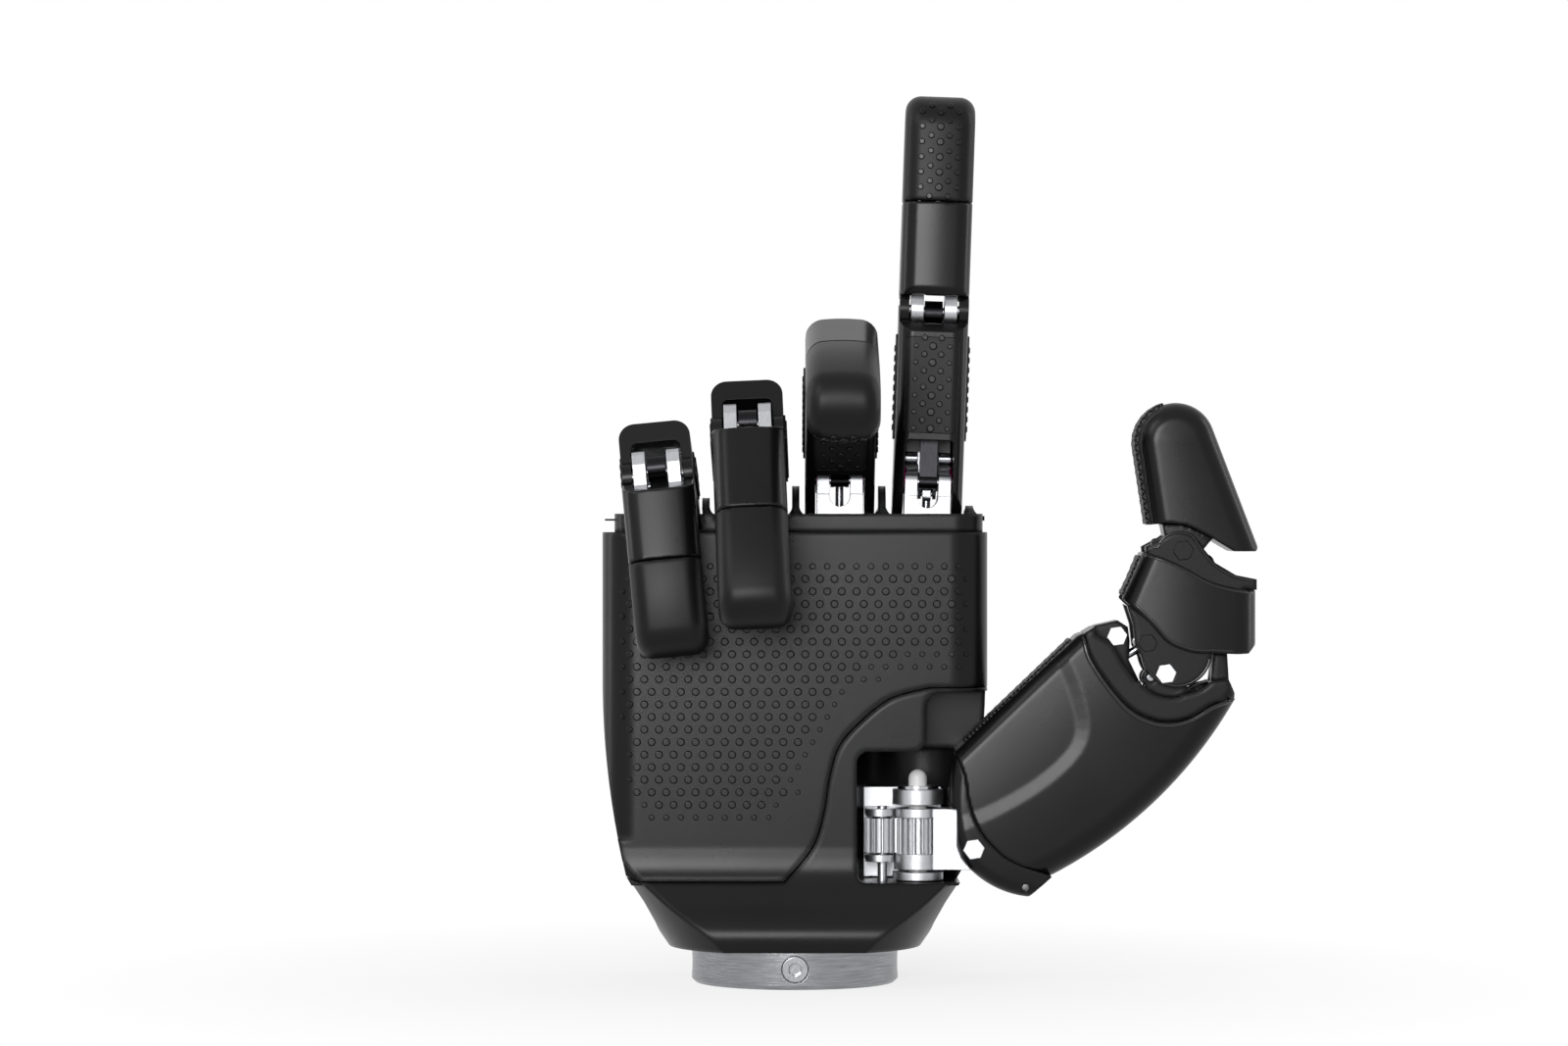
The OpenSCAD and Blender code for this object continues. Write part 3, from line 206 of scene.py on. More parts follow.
def swell(node, body, finish, axis, rise, cell_mm):
    """Stands a softly crowned copy in for a flat-faced shell.

    rise(point, out) gives the height in metres at a point whose normal has the share out along
    the axis. It is added out of both faces, wherever the face lies open."""
    bm = even_copy(node, cell_mm)
    skin = surface_of(node)
    for vert in bm.verts:
        vert.co = skin.find_nearest(vert.co)[0]
    tree = BVHTree.FromBMesh(bm)
    bm.normal_update()
    moves = []
    for vert in bm.verts:
        out = vert.normal.dot(axis)
        if abs(out) < FACE_FROM:
            continue
        way = axis if out > 0 else -axis
        if tree.ray_cast(vert.co + way * OPEN_START * MM, way, OPEN_REACH)[0] is None:
            share = min(1.0, (abs(out) - FACE_FROM) / FACE_OVER)
            moves.append((vert, way * rise(vert.co, out) * share))
    for vert, move in moves:
        vert.co += move
    for face in bm.faces:
        face.smooth = True
    piece = make_piece(node + "_shell", bm, finish, body)
    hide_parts(node)
    SHELLS[node] = piece


DOT_SIDES = 16
DOT_BLACK = "ABS moulded black small parts"
DOT_PROFILE = ((1.06, -0.3), (1.04, 0.0), (0.97, 0.55), (0.90, 0.86), (0.72, 1.0))


def add_dot(bm, point, normal, radius, height):
    """One flat-topped grip dot with rounded rim, its foot sunk into the surface."""
    place = Matrix.Translation(point) @ facing(normal)
    turned(bm, place, [(k * radius, h * height) for k, h in DOT_PROFILE], DOT_SIDES)


def cast_dots(bm, tree, spots, place, towards, height, reach=0.03):
    """Lays dots on a surface: spots are (x, z, radius) in a frame, cast along a local direction."""
    turn = place.to_3x3()
    ray = (turn @ Vector(towards)).normalized()
    for x, y, z, radius in spots:
        start = place @ Vector((x, y, z)) - ray * reach
        hit, normal, _, _ = tree.ray_cast(start, ray, 2 * reach)
        if hit is None:
            continue
        if normal.dot(ray) > 0:
            normal = -normal
        add_dot(bm, hit, normal, radius, height)


# ---------------------------------------------------------------- finishes


def grain_normal(tree, grain_mm, strength, edge_mm, extra=None):
    """Fine surface grain over rounded-off edges, as a normal."""
    where = add(tree, "ShaderNodeTexCoord").outputs["Object"]
    noise = add(
        tree,
        "ShaderNodeTexNoise",
        {"Vector": where},
        Scale=per_metre(grain_mm),
        Detail=2.0,
        Roughness=0.6,
    )
    edge = add(tree, "ShaderNodeBevel", samples=6, Radius=edge_mm * MM)
    return add(
        tree,
        "ShaderNodeBump",
        {"Height": extra or noise.outputs["Fac"], "Normal": edge.outputs["Normal"]},
        Strength=strength,
        Distance=0.00005,
    ).outputs["Normal"]


def moulded_black(name, edge_mm, rough=0.25, level=0.17):
    """Black ABS from a spark-eroded mould: satin, even, slightly greyer where hands rub it."""
    mat, tree, shader = new_material(name, **{"IOR": 1.53, "Specular IOR Level": level})
    where = add(tree, "ShaderNodeTexCoord").outputs["Object"]
    cloud = add(
        tree, "ShaderNodeTexNoise", {"Vector": where}, Scale=per_metre(14), Detail=3.0
    ).outputs["Fac"]
    tone = add(tree, "ShaderNodeValToRGB", {"Fac": cloud})
    tone.color_ramp.elements[0].color = linear("#0B0B0C")
    tone.color_ramp.elements[1].color = linear("#111112")
    gloss = add(tree, "ShaderNodeMapRange", {"Value": cloud}, To_Min=rough, To_Max=rough + 0.06)
    tree.links.new(tone.outputs["Color"], shader.inputs["Base Color"])
    tree.links.new(gloss.outputs["Result"], shader.inputs["Roughness"])
    # The mould's grain is 0.05 mm; it is drawn at 0.3 mm so that it shows.
    tree.links.new(grain_normal(tree, 0.3, 0.15, edge_mm), shader.inputs["Normal"])
    return mat


def moulded_white():
    """White POM off the press: smooth, a little waxy, very slightly uneven in tone."""
    mat, tree, shader = new_material("POM moulded white", IOR=1.48, Roughness=0.35)
    where = add(tree, "ShaderNodeTexCoord").outputs["Object"]
    cloud = add(
        tree, "ShaderNodeTexNoise", {"Vector": where}, Scale=per_metre(2), Detail=2.0
    ).outputs["Fac"]
    tone = add(tree, "ShaderNodeValToRGB", {"Fac": cloud})
    tone.color_ramp.elements[0].color = linear("#DADADA")
    tone.color_ramp.elements[1].color = linear("#E6E6E5")
    tree.links.new(tone.outputs["Color"], shader.inputs["Base Color"])
    tree.links.new(grain_normal(tree, 0.3, 0.08, 0.2), shader.inputs["Normal"])
    return mat


def grip_rubber(name, edge_mm):
    """Black TPU overmould: softer and duller than the shells, with a fine even grain."""
    mat, tree, shader = new_material(name, **{"IOR": 1.5, "Specular IOR Level": 0.16})
    where = add(tree, "ShaderNodeTexCoord").outputs["Object"]
    cloud = add(
        tree, "ShaderNodeTexNoise", {"Vector": where}, Scale=per_metre(9), Detail=4.0
    ).outputs["Fac"]
    tone = add(tree, "ShaderNodeValToRGB", {"Fac": cloud})
    tone.color_ramp.elements[0].color = linear("#0D0D0E")
    tone.color_ramp.elements[1].color = linear("#141415")
    gloss = add(tree, "ShaderNodeMapRange", {"Value": cloud}, To_Min=0.36, To_Max=0.42)
    tree.links.new(tone.outputs["Color"], shader.inputs["Base Color"])
    tree.links.new(gloss.outputs["Result"], shader.inputs["Roughness"])
    # The grain is 0.1 mm; it is drawn at 0.35 mm so that it shows.
    tree.links.new(grain_normal(tree, 0.35, 0.2, edge_mm), shader.inputs["Normal"])
    return mat


def brushed_aluminium():
    """Clear anodised aluminium, brushed round the wrist: fine level scratches and soft bands."""
    mat, tree, shader = new_material(
        "Aluminium anodised brushed", Metallic=1.0, Anisotropic=0.7
    )
    where = add(tree, "ShaderNodeTexCoord").outputs["Object"]
    stretch = add(tree, "ShaderNodeMapping", {"Vector": where}, Scale=(0.02, 0.02, 1.0))
    # Brush marks are 0.05 mm apart; they are drawn at 0.15 mm so that they show.
    marks = add(
        tree,
        "ShaderNodeTexNoise",
        {"Vector": stretch.outputs["Vector"]},
        Scale=per_metre(0.15),
        Detail=4.0,
        Roughness=0.7,
    ).outputs["Fac"]
    tone = add(tree, "ShaderNodeValToRGB", {"Fac": marks})
    tone.color_ramp.elements[0].position = 0.3
    tone.color_ramp.elements[0].color = linear("#6E6F72")
    tone.color_ramp.elements[1].position = 0.7
    tone.color_ramp.elements[1].color = linear("#A3A4A7")
    gloss = add(tree, "ShaderNodeMapRange", {"Value": marks}, To_Min=0.2, To_Max=0.32)
    tree.links.new(tone.outputs["Color"], shader.inputs["Base Color"])
    tree.links.new(gloss.outputs["Result"], shader.inputs["Roughness"])
    tree.links.new(grain_normal(tree, 0.15, 0.25, 0.2, marks), shader.inputs["Normal"])
    return mat


def machined(name, low, high, rough, mark_mm):
    """Bare metal off the mill or lathe: faint tool marks and small changes in polish."""
    mat, tree, shader = new_material(name, Metallic=1.0)
    where = add(tree, "ShaderNodeTexCoord").outputs["Object"]
    stretch = add(tree, "ShaderNodeMapping", {"Vector": where}, Scale=(1.0, 0.15, 0.25))
    marks = add(
        tree,
        "ShaderNodeTexNoise",
        {"Vector": stretch.outputs["Vector"]},
        Scale=per_metre(mark_mm),
        Detail=3.0,
    ).outputs["Fac"]
    tone = add(tree, "ShaderNodeValToRGB", {"Fac": marks})
    tone.color_ramp.elements[0].color = linear(low)
    tone.color_ramp.elements[1].color = linear(high)
    gloss = add(tree, "ShaderNodeMapRange", {"Value": marks}, To_Min=rough, To_Max=rough + 0.1)
    tree.links.new(tone.outputs["Color"], shader.inputs["Base Color"])
    tree.links.new(gloss.outputs["Result"], shader.inputs["Roughness"])
    tree.links.new(grain_normal(tree, mark_mm, 0.12, 0.25, marks), shader.inputs["Normal"])
    return mat


def board_laminate():
    """Epoxy-glass circuit board under green lacquer: a faint weave under a smooth gloss."""
    mat, tree, shader = new_material("Epoxy glass lacquered green", IOR=1.52, Roughness=0.25)
    where = add(tree, "ShaderNodeTexCoord").outputs["Object"]
    weave = add(
        tree, "ShaderNodeTexWave", {"Vector": where}, Scale=per_metre(1.2), Distortion=0.5
    ).outputs["Fac"]
    tone = add(tree, "ShaderNodeValToRGB", {"Fac": weave})
    tone.color_ramp.elements[0].color = linear("#0E3A22")
    tone.color_ramp.elements[1].color = linear("#14502F")
    tree.links.new(tone.outputs["Color"], shader.inputs["Base Color"])
    return mat


def make_finishes():
    """Every finish on the hand. A shell's number is the width of its softened edges in mm."""
    moulded_black("ABS moulded black", 1.6)
    moulded_black("ABS moulded black small parts", 0.15)
    moulded_black("ABS moulded black shell", 0.6)
    moulded_black("ABS polished black", 0.1, 0.12, 0.45)
    moulded_white()
    grip_rubber("TPU moulded black", 1.2)
    grip_rubber("TPU moulded black inlay", 0.2)
    brushed_aluminium()
    machined("Aluminium milled", "#A4A5A8", "#BCBDC0", 0.36, 0.3)
    machined("Steel ground", "#828386", "#A0A1A4", 0.16, 0.2)
    machined("Steel nickel plated", "#A8A9AC", "#C8C9CC", 0.16, 0.5)
    machined("Steel black oxide", "#1B1B1D", "#29292B", 0.24, 0.25)
    machined("Aluminium anodised magenta", "#B0106A", "#C8187C", 0.3, 0.3)
    board_laminate()


FINISH_OF_SLOT = {
    "black_shell": "ABS moulded black",
    "grip_pad": "TPU moulded black",
    "bright_ring": "Aluminium anodised brushed",
    "bright_metal": "Aluminium milled",
    "steel": "Steel ground",
    "drive_case": "Steel black oxide",
    "board": "Epoxy glass lacquered green",
}
FINISH_OF_NODE = {
    "palm_chassis": "Steel black oxide",
    "knuckle_frame": "ABS moulded black",
    **{f + "_coupler": "Steel black oxide" for f in FINGERS},
    **{f + "_proximal": "ABS moulded black small parts" for f in FINGERS},
    **{f + "_grip": "TPU moulded black inlay" for f in FINGERS},
    "thumb_shaft": "POM moulded white",
    "thumb_bushes": "Steel nickel plated",
}


def dress_nodes():
    """Gives every CAD node the finish of its slot, or its own."""
    slots = {s["node"]: s["material_slot"] for s in frame["record"]["subparts"]}
    for name, obj in frame["nodes"].items():
        finish = FINISH_OF_NODE.get(name, FINISH_OF_SLOT[slots[name]])
        obj.data.materials.clear()
        obj.data.materials.append(bpy.data.materials[finish])


# ---------------------------------------------------------------- grip dots


def between(points, z):
    """Linear value at height z from (z, value) pairs in falling z."""
    if z >= points[0][0]:
        return points[0][1]
    for (z0, a), (z1, b) in zip(points, points[1:]):
        if z >= z1:
            return b + (a - b) * (z - z1) / (z0 - z1)
    return points[-1][1]


PALM_LEFT = ((63, -37.6), (47.5, -36.0), (42, -35.9), (39.4, -33.2), (36.7, -31.6))
PALM_RIGHT = (
    (69.0, 37.1),
    (66.4, 18.3),
    (63.7, 10.4),
    (61.0, 8.8),
    (58.3, 7.2),
    (52.9, 4.1),
    (47.5, 1.0),
    (44.8, -0.7),
    (42.1, 0.9),
    (39.4, -3.9),
    (36.7, -5.5),
)
PALM_ROWS = 21
PALM_TOP_ROW = 90.67
PALM_TOP_LEFT = -34.5
PALM_FIRST_COLUMN = 0.644
PALM_FACE = -0.017


def palm_spots(settings):
    """Spots of the palm's dots: staggered rows that end along the cover's curved edge."""
    pitch, step = settings.palm_pitch / MM, settings.palm_row / MM
    full = settings.palm_dot / MM / 2
    spots = []
    for row in range(PALM_ROWS):
        z = PALM_TOP_ROW - row * step
        low = between(PALM_LEFT, z) if row else PALM_TOP_LEFT
        high = between(PALM_RIGHT, z)
        phase = PALM_FIRST_COLUMN + (pitch / 2 if row % 2 else 0)
        first = math.ceil((low - phase) / pitch - 0.02)
        last = math.floor((high - phase) / pitch + 0.02)
        for k in range(first, last + 1):
            x = phase + k * pitch
            ends = min(x - low, high - x)
            above = between(PALM_RIGHT, z - 2 * step) - x if row > 6 else 9
            # The dots grow over the first few millimetres in from the field's edge.
            depth = min(
                ends + 0.6, (row + 1.6) * 1.2, (PALM_ROWS - row) * 1.4, max(above + 6, 1.2)
            )
            size = full * min(1.0, 0.5 + 0.17 * max(depth, 0))
            spots.append((x * MM, PALM_FACE, z * MM, size * MM))
    return spots


TIP_DOTS = 7
TIP_END = 3.2
TIP_STEP = 3.29
PAD_DOTS = 11
PAD_START = 11.3
PAD_END = 6.2


def tip_spots(length):
    """Spots on a fingertip: rows of three with a row of two above each."""
    spots = []
    for row in range(TIP_DOTS):
        z = length - (TIP_END + TIP_STEP * (TIP_DOTS - 1 - row))
        for x, d in ((-3.95, 1.3), (0.0, 1.65), (3.95, 1.3)):
            spots.append((x * MM, 0, (z - 0.6) * MM, d / 2 * MM))
        for x in (-1.97, 1.97):
            spots.append((x * MM, 0, (z + 0.75) * MM, 0.65 * MM))
    return spots


def lower_spots(length):
    """Spots on a lower finger segment: rows of two and of three in turn."""
    spots = []
    for row in range(PAD_DOTS + 1):
        z = PAD_START + (length - PAD_END - PAD_START) * row / PAD_DOTS
        if row % 2:
            line = ((-1.83, 1.37), (1.83, 1.37))
        else:
            line = ((-3.66, 1.1), (0.0, 1.7), (3.66, 1.1))
        spots += [(x * MM, 0, z * MM, d / 2 * MM) for x, d in line]
    return spots


def segment_length(finger):
    """Length between a finger's two joint axes, in millimetres along the bone."""
    tip = lower_frame(finger).inverted() @ Vector(JOINTS[finger + "_curl"]["pos_m"])
    return tip.z / MM


def tip_length(finger):
    """Length from the second joint's axis to the tip, in millimetres."""
    inverse = upper_frame(finger).inverted()
    return max((inverse @ v.co).z for v in frame["nodes"][finger + "_tip"].data.vertices) / MM


# ---------------------------------------------------------------- thumb

SWING = Vector(JOINTS["thumb_swing"]["pos_m"])
# Half the thickness of the thumb's shells, and of the lobes that its pins go through.
THUMB_HALF = 8.5
THUMB_LOBE = THUMB_HALF - 1
CAST_FROM = -20
CAST_REACH = 14
CURVE_STEPS = 6


def in_plane(x, z, depth=0.0):
    """A point of the thumb's plane, in millimetres, and its depth behind the middle."""
    return Vector((x * MM, SWING.y + depth * MM, z * MM))


def straight_path(start, end, step):
    """Points from start to end and the direction to the left of the way."""
    way = Vector(end) - Vector(start)
    count = max(1, round(way.length / step))
    side = Vector((-way.y, way.x)).normalized()
    return [(Vector(start) + way * i / count, side) for i in range(count + 1)]


def arc_path(centre, radius, first, last, step):
    """Points on an arc, angles in degrees, and the direction to its centre."""
    count = max(1, round(math.radians(abs(last - first)) * radius / step))
    out = []
    for i in range(count + 1):
        angle = math.radians(first + (last - first) * i / count)
        way = Vector((math.cos(angle), math.sin(angle)))
        out.append((Vector(centre) + way * radius, -way))
    return out


def smooth_path(points, steps=CURVE_STEPS):
    """Catmull-Rom curve through the points."""
    padded = [points[0], *points, points[-1]]
    out = []
    for a, b, c, d in zip(padded, padded[1:], padded[2:], padded[3:]):
        for i in range(steps):
            t = i / steps
            square = (2 * a - 5 * b + 4 * c - d) * t**2
            cube = (3 * b - a - 3 * c + d) * t**3
            out.append((2 * b + (c - a) * t + square + cube) / 2)
    return out + [points[-1]]


def add_cord(bm, points, radius, sides=10):
    """Round bead along the points, with rounded ends."""
    rings = []
    last = len(points) - 1
    for i, point in enumerate(points):
        way = (points[min(i + 1, last)] - points[max(i - 1, 0)]).normalized()
        place = Matrix.Translation(point) @ facing(way)
        size = radius * (0.45 if i in (0, last) else 1.0)
        rings.append(ring_of(bm, place, size, 0, sides))
    for a, b in zip(rings, rings[1:]):
        bridge(bm, a, b)
    bm.faces.new(list(reversed(rings[0])))
    bm.faces.new(rings[-1])


def on_front(tree, point, depth):
    """Depth of the skin in front of a point of the thumb's plane, or the depth given."""
    start = in_plane(point[0], point[1], CAST_FROM)
    hit = tree.ray_cast(start, Vector((0, 1, 0)), CAST_REACH * MM)[0]
    return (hit.y - SWING.y) / MM if hit is not None else depth


def thumb_bead(bm, tree, outline, depth, sink, radius):
    """Bead along an outline of (x, z) points, in millimetres, sunk a little into the skin."""
    path = smooth_path([Vector(p) for p in outline])
    add_cord(bm, [in_plane(p.x, p.y, on_front(tree, p, depth) + sink) for p in path], radius * MM)


def shifted(outline, dx, dz):
    """The outline moved along X and Z."""
    return [(x + dx, z + dz) for x, z in outline]


def on_arc(centre, radius, first, last, count):
    """Points on an arc between two angles in degrees."""
    step = (last - first) / (count - 1)
    angles = [math.radians(first + step * i) for i in range(count)]
    return [(centre[0] + radius * math.cos(a), centre[1] + radius * math.sin(a)) for a in angles]


def bow(a, b):
    """Height, from 0 to 1, of a shallow crown at distances a and b from its two edges."""
    return 4 * a * b / (a + b) ** 2 if a > 0 and b > 0 else 0.0


def beyond(x, z, point, angle):
    """Distance of a point on the left of a straight edge through a point at an angle."""
    turn = math.radians(angle)
    return (z - point[1]) * math.cos(turn) - (x - point[0]) * math.sin(turn)


# Edges of the thumb's shells: the palm side of the base as a point and an angle, its back as an
# arc's centre and radius, and the tip's two sides and top.
BASE_INNER = ((60.8, 75.9), 223.7)
BASE_BACK = ((11.1, 109.8), 96.5)
TIP_INNER = ((73.7, 116.1), -81.4)
TIP_BACK = ((90.0, 120.4), 110.9)
TIP_TOP = 125.9
SLEEVE_SIDES = (70.5, 99.4)
# Middle line of the ramp round the flat that is set down in the base.
BAND = (
    (55.8, 79.0), (58.2, 72.5), (61.0, 66.0), (62.6, 60.5), (63.2, 55.5), (61.6, 50.8), (57.5, 46.2),
    (51.5, 41.6), (44.5, 37.6), (38.4, 34.9), (31.0, 32.4), (24.0, 30.4),
)
# The band closes into a field over these corners, beyond the palm side of the base.
FIELD_CORNERS = ((20, 60), (50, 90))
BAND_WIDTH = 2.8
BAND_STEP = -0.4
# Shares of the thumb's crown on its base, and on the back and the front of its tip. The front
# is lower because it passes close by the middle finger as the thumb swings in.
BASE_SHARE = 0.7
TIP_BACK_SHARE = 1.9
TIP_FRONT_SHARE = 0.5
TIP_FADE = 8
FINGER_HALF = 7.6
FINGER_CELL = 0.35
THUMB_CELL = 0.45


def band_step(x, z, band, field):
    """How far the flat inside the band is set down, ramping over its width, from 0 to 1."""
    if not inside(x, z, field):
        return 0.0
    near = min(gap_to(x, z, a, b) for a, b in zip(band, band[1:]))
    return min(1.0, near / BAND_WIDTH)


def inside(x, z, outline):
    """Whether a point lies within a closed outline, by counting the edges beside it."""
    odd = False
    for (ax, az), (bx, bz) in zip(outline, [*outline[1:], outline[0]]):
        if (az > z) != (bz > z) and x < (bx - ax) * (z - az) / (bz - az) + ax:
            odd = not odd
    return odd


def gap_to(x, z, a, b):
    """Distance from a point to the stretch from a to b."""
    wx, wz = b[0] - a[0], b[1] - a[1]
    t = max(0.0, min(1.0, ((x - a[0]) * wx + (z - a[1]) * wz) / (wx * wx + wz * wz)))
    return math.hypot(x - a[0] - wx * t, z - a[1] - wz * t)


THUMB_ROWS = ((-4.5, -2.25, 0.0, 2.25, 4.5), (-3.4, -1.15, 1.15, 3.4))


def edge_dots(bm, tree, path, radius, height):
    """Staggered dots on an edge of the thumb, cast inwards from a path beside it."""
    for i, (point, inward) in enumerate(path):
        ray = Vector((inward.x, 0, inward.y))
        for depth in THUMB_ROWS[i % 2]:
            start = in_plane(point.x, point.y, depth) - ray * 3 * MM
            hit, normal, _, _ = tree.ray_cast(start, ray, 6 * MM)
            if hit is not None:
                add_dot(bm, hit, normal if normal.dot(ray) < 0 else -normal, radius * MM, height)


def hex_head(bm, point, across, low, high, turn):
    """Chamfered hexagon head on the thumb's front; low and high are measured outwards."""
    place = Matrix.Translation(point) @ Matrix.Rotation(math.radians(90), 4, "X")
    place = place @ Matrix.Rotation(math.radians(turn), 4, "Z")
    corner = across / math.sqrt(3)
    rings = [
        ring_of(bm, place, r * MM, h * MM, 6)
        for r, h in ((corner, low), (corner, high - 0.15), (corner - 0.15, high))
    ]
    for a, b in zip(rings, rings[1:]):
        bridge(bm, a, b, False)
    bm.faces.new(list(reversed(rings[0])))
    bm.faces.new(rings[-1])


# ---------------------------------------------------------------- stage


FLOOR_HALF = 4
# The floor takes the lamps' light near the object, so that it holds the shadow, and fades out
# to plain white over 1 / FLOOR_FADE metres.
FLOOR_FADE = 6
FLOOR_LIT = 0.25
WORLD_LIGHT = 0.2
LAMP_TARGET = (0, 0, 0.09)
# Name, place, width in metres, power in watts and height in metres.
LAMPS = (
    ("Key softbox", (-0.2, -1.35, 0.3), 0.45, 13, None),
    ("Fill softbox", (-0.9, -0.9, 0.9), 0.6, 5, None),
    ("Left strip", (-0.9, 0.2, 0.3), 0.12, 1.8, 0.9),
    ("Right strip", (0.9, 0.2, 0.3), 0.12, 1.8, 0.9),
)


def area_light(name, place, size, power, height):
    """Square softbox, or a strip where a height is given, turned to the object."""
    data = bpy.data.lights.new(name, "AREA")
    data.energy = power
    data.size = size
    if height:
        data.shape = "RECTANGLE"
        data.size_y = height
    obj = bpy.data.objects.new(name, data)
    obj.location = place
    obj.rotation_euler = (Vector(LAMP_TARGET) - Vector(place)).to_track_quat("-Z", "Y").to_euler()
    bpy.context.scene.collection.objects.link(obj)


def background_rays(tree):
    """1 for the camera, glossy and transmitted rays that should see a white background."""
    path = add(tree, "ShaderNodeLightPath").outputs
    seen = path["Is Camera Ray"]
    for kind in ("Is Glossy Ray", "Is Transmission Ray"):
        seen = add(tree, "ShaderNodeMath", {0: seen, 1: path[kind]}, operation="MAXIMUM").outputs[0]
    return seen


class HandSettings(bpy.types.PropertyGroup):
    """Sizes of the hand's dots and crowns"""

    palm_pitch: bpy.props.FloatProperty(
        name="Palm dot pitch",
        description="Distance between the palm's dots along a row",
        default=0.003148,
        unit="LENGTH",
        subtype="DISTANCE",
    )
    palm_row: bpy.props.FloatProperty(
        name="Palm row step",
        description="Distance between rows of dots on the palm",
        default=0.0027,
        unit="LENGTH",
        subtype="DISTANCE",
    )
    palm_dot: bpy.props.FloatProperty(
        name="Palm dot diameter",
        description="Diameter of a full-size dot on the palm",
        default=0.0017,
        unit="LENGTH",
        subtype="DISTANCE",
    )
    dot_height: bpy.props.FloatProperty(
        name="Dot height",
        description="How far the dots stand out",
        default=0.0004,
        unit="LENGTH",
        subtype="DISTANCE",
    )
    finger_crown: bpy.props.FloatProperty(
        name="Finger crown",
        description="How far the fingertips' faces swell at their middle",
        default=0.0007,
        unit="LENGTH",
        subtype="DISTANCE",
    )
    thumb_crown: bpy.props.FloatProperty(
        name="Thumb crown",
        description="How far the thumb's faces swell at their middle",
        default=0.0011,
        unit="LENGTH",
        subtype="DISTANCE",
    )


class StageSettings(bpy.types.PropertyGroup):
    """Where the camera stands"""

    camera_distance: bpy.props.FloatProperty(
        name="Camera distance",
        description="Distance of the camera in front of the fingers",
        default=1.05,
        unit="LENGTH",
        subtype="DISTANCE",
    )
    lens: bpy.props.FloatProperty(
        name="Lens", description="Focal length for a 36 mm sensor, in millimetres", default=110.25
    )


class HAND_OT_finishes(bpy.types.Operator):
    """Makes the finishes and gives each CAD node its own"""

    bl_idname = "hand.finishes"
    bl_label = "Finishes"

    def execute(self, context):
        make_finishes()
        dress_nodes()
        return {"FINISHED"}


class HAND_OT_shells(bpy.types.Operator):
    """Swells the flat faces of the fingertips' and the thumb's shells into shallow crowns"""

    bl_idname = "hand.shells"
    bl_label = "Crowned shells"

    def execute(self, context):
        settings = context.scene.hand_settings
        rise = settings.finger_crown
        for finger in FINGERS:
            at = upper_frame(finger)
            back = at.inverted()
            axis = (at.to_3x3() @ Vector((0, 1, 0))).normalized()

            def finger_rise(point, out, back=back):
                return rise * max(0.0, 1 - ((back @ point).x / (FINGER_HALF * MM)) ** 2)

            for part, finish, slot in (
                ("_distal", SHELL_BLACK, "black_shell"),
                ("_tip", "TPU moulded black", "grip_pad"),
            ):
                swell(finger + part, finger + "_upper", finish, axis, finger_rise, FINGER_CELL)

        rise = settings.thumb_crown
        band = [tuple(p) for p in smooth_path([Vector(p) for p in BAND], 2)]
        field = [*band, *FIELD_CORNERS]

        def base_rise(point, out):
            x, z = point.x / MM, point.z / MM
            centre, radius = BASE_BACK
            crown = bow(radius - math.hypot(x - centre[0], z - centre[1]), beyond(x, z, *BASE_INNER))
            return BASE_SHARE * rise * crown + BAND_STEP * MM * band_step(x, z, band, field)

        def sleeve_rise(point, out):
            x = point.x / MM
            return rise * bow(x - SLEEVE_SIDES[0], SLEEVE_SIDES[1] - x)

        def tip_rise(point, out):
            x, z = point.x / MM, point.z / MM
            crown = bow(beyond(x, z, *TIP_INNER), beyond(x, z, *TIP_BACK))
            side = TIP_BACK_SHARE if out > 0 else TIP_FRONT_SHARE
            return side * rise * crown * max(0.0, min(1.0, (TIP_TOP - z) / TIP_FADE))

        axis = Vector((0, 1, 0))
        for node, body, lift in (
            ("thumb_metacarpal", "thumb_base", base_rise),
            ("thumb_end_cap", "thumb_base", base_rise),
            ("thumb_sleeve", "thumb_lower", sleeve_rise),
            ("thumb_distal", "thumb_upper", tip_rise),
        ):
            swell(node, body, SHELL_BLACK, axis, lift, THUMB_CELL)
        return {"FINISHED"}


class HAND_OT_palm_dots(bpy.types.Operator):
    """Raises the field of grip dots on the palm cover"""

    bl_idname = "hand.palm_dots"
    bl_label = "Palm dots"

    def execute(self, context):
        settings = context.scene.hand_settings
        bm = bmesh.new()
        cast_dots(
            bm,
            surface_of("palm_cover"),
            palm_spots(settings),
            Matrix.Identity(4),
            (0, 1, 0),
            settings.dot_height,
            0.01,
        )
        make_piece("palm_dots", bm, DOT_BLACK, "palm")
        return {"FINISHED"}


class HAND_OT_finger_dots(bpy.types.Operator):
    """Raises the grip dots on both segments of every finger"""

    bl_idname = "hand.finger_dots"
    bl_label = "Finger dots"

    def execute(self, context):
        height = context.scene.hand_settings.dot_height
        for finger in FINGERS:
            bm = bmesh.new()
            tree = surface_of(finger + "_proximal", finger + "_grip")
            spots = lower_spots(segment_length(finger))
            cast_dots(bm, tree, spots, lower_frame(finger), (0, 1, 0), height, 0.02)
            make_piece(finger + "_lower_dots", bm, DOT_BLACK, finger + "_lower")
            bm = bmesh.new()
            tree = surface_of(finger + "_tip")
            spots = tip_spots(tip_length(finger))
            cast_dots(bm, tree, spots, upper_frame(finger), (0, 1, 0), height, 0.02)
            make_piece(finger + "_tip_dots", bm, DOT_BLACK, finger + "_upper")
        return {"FINISHED"}


THUMB_DOT = 0.62
THUMB_DOT_LIFT = 1.2
EDGE_STEP = 1.05


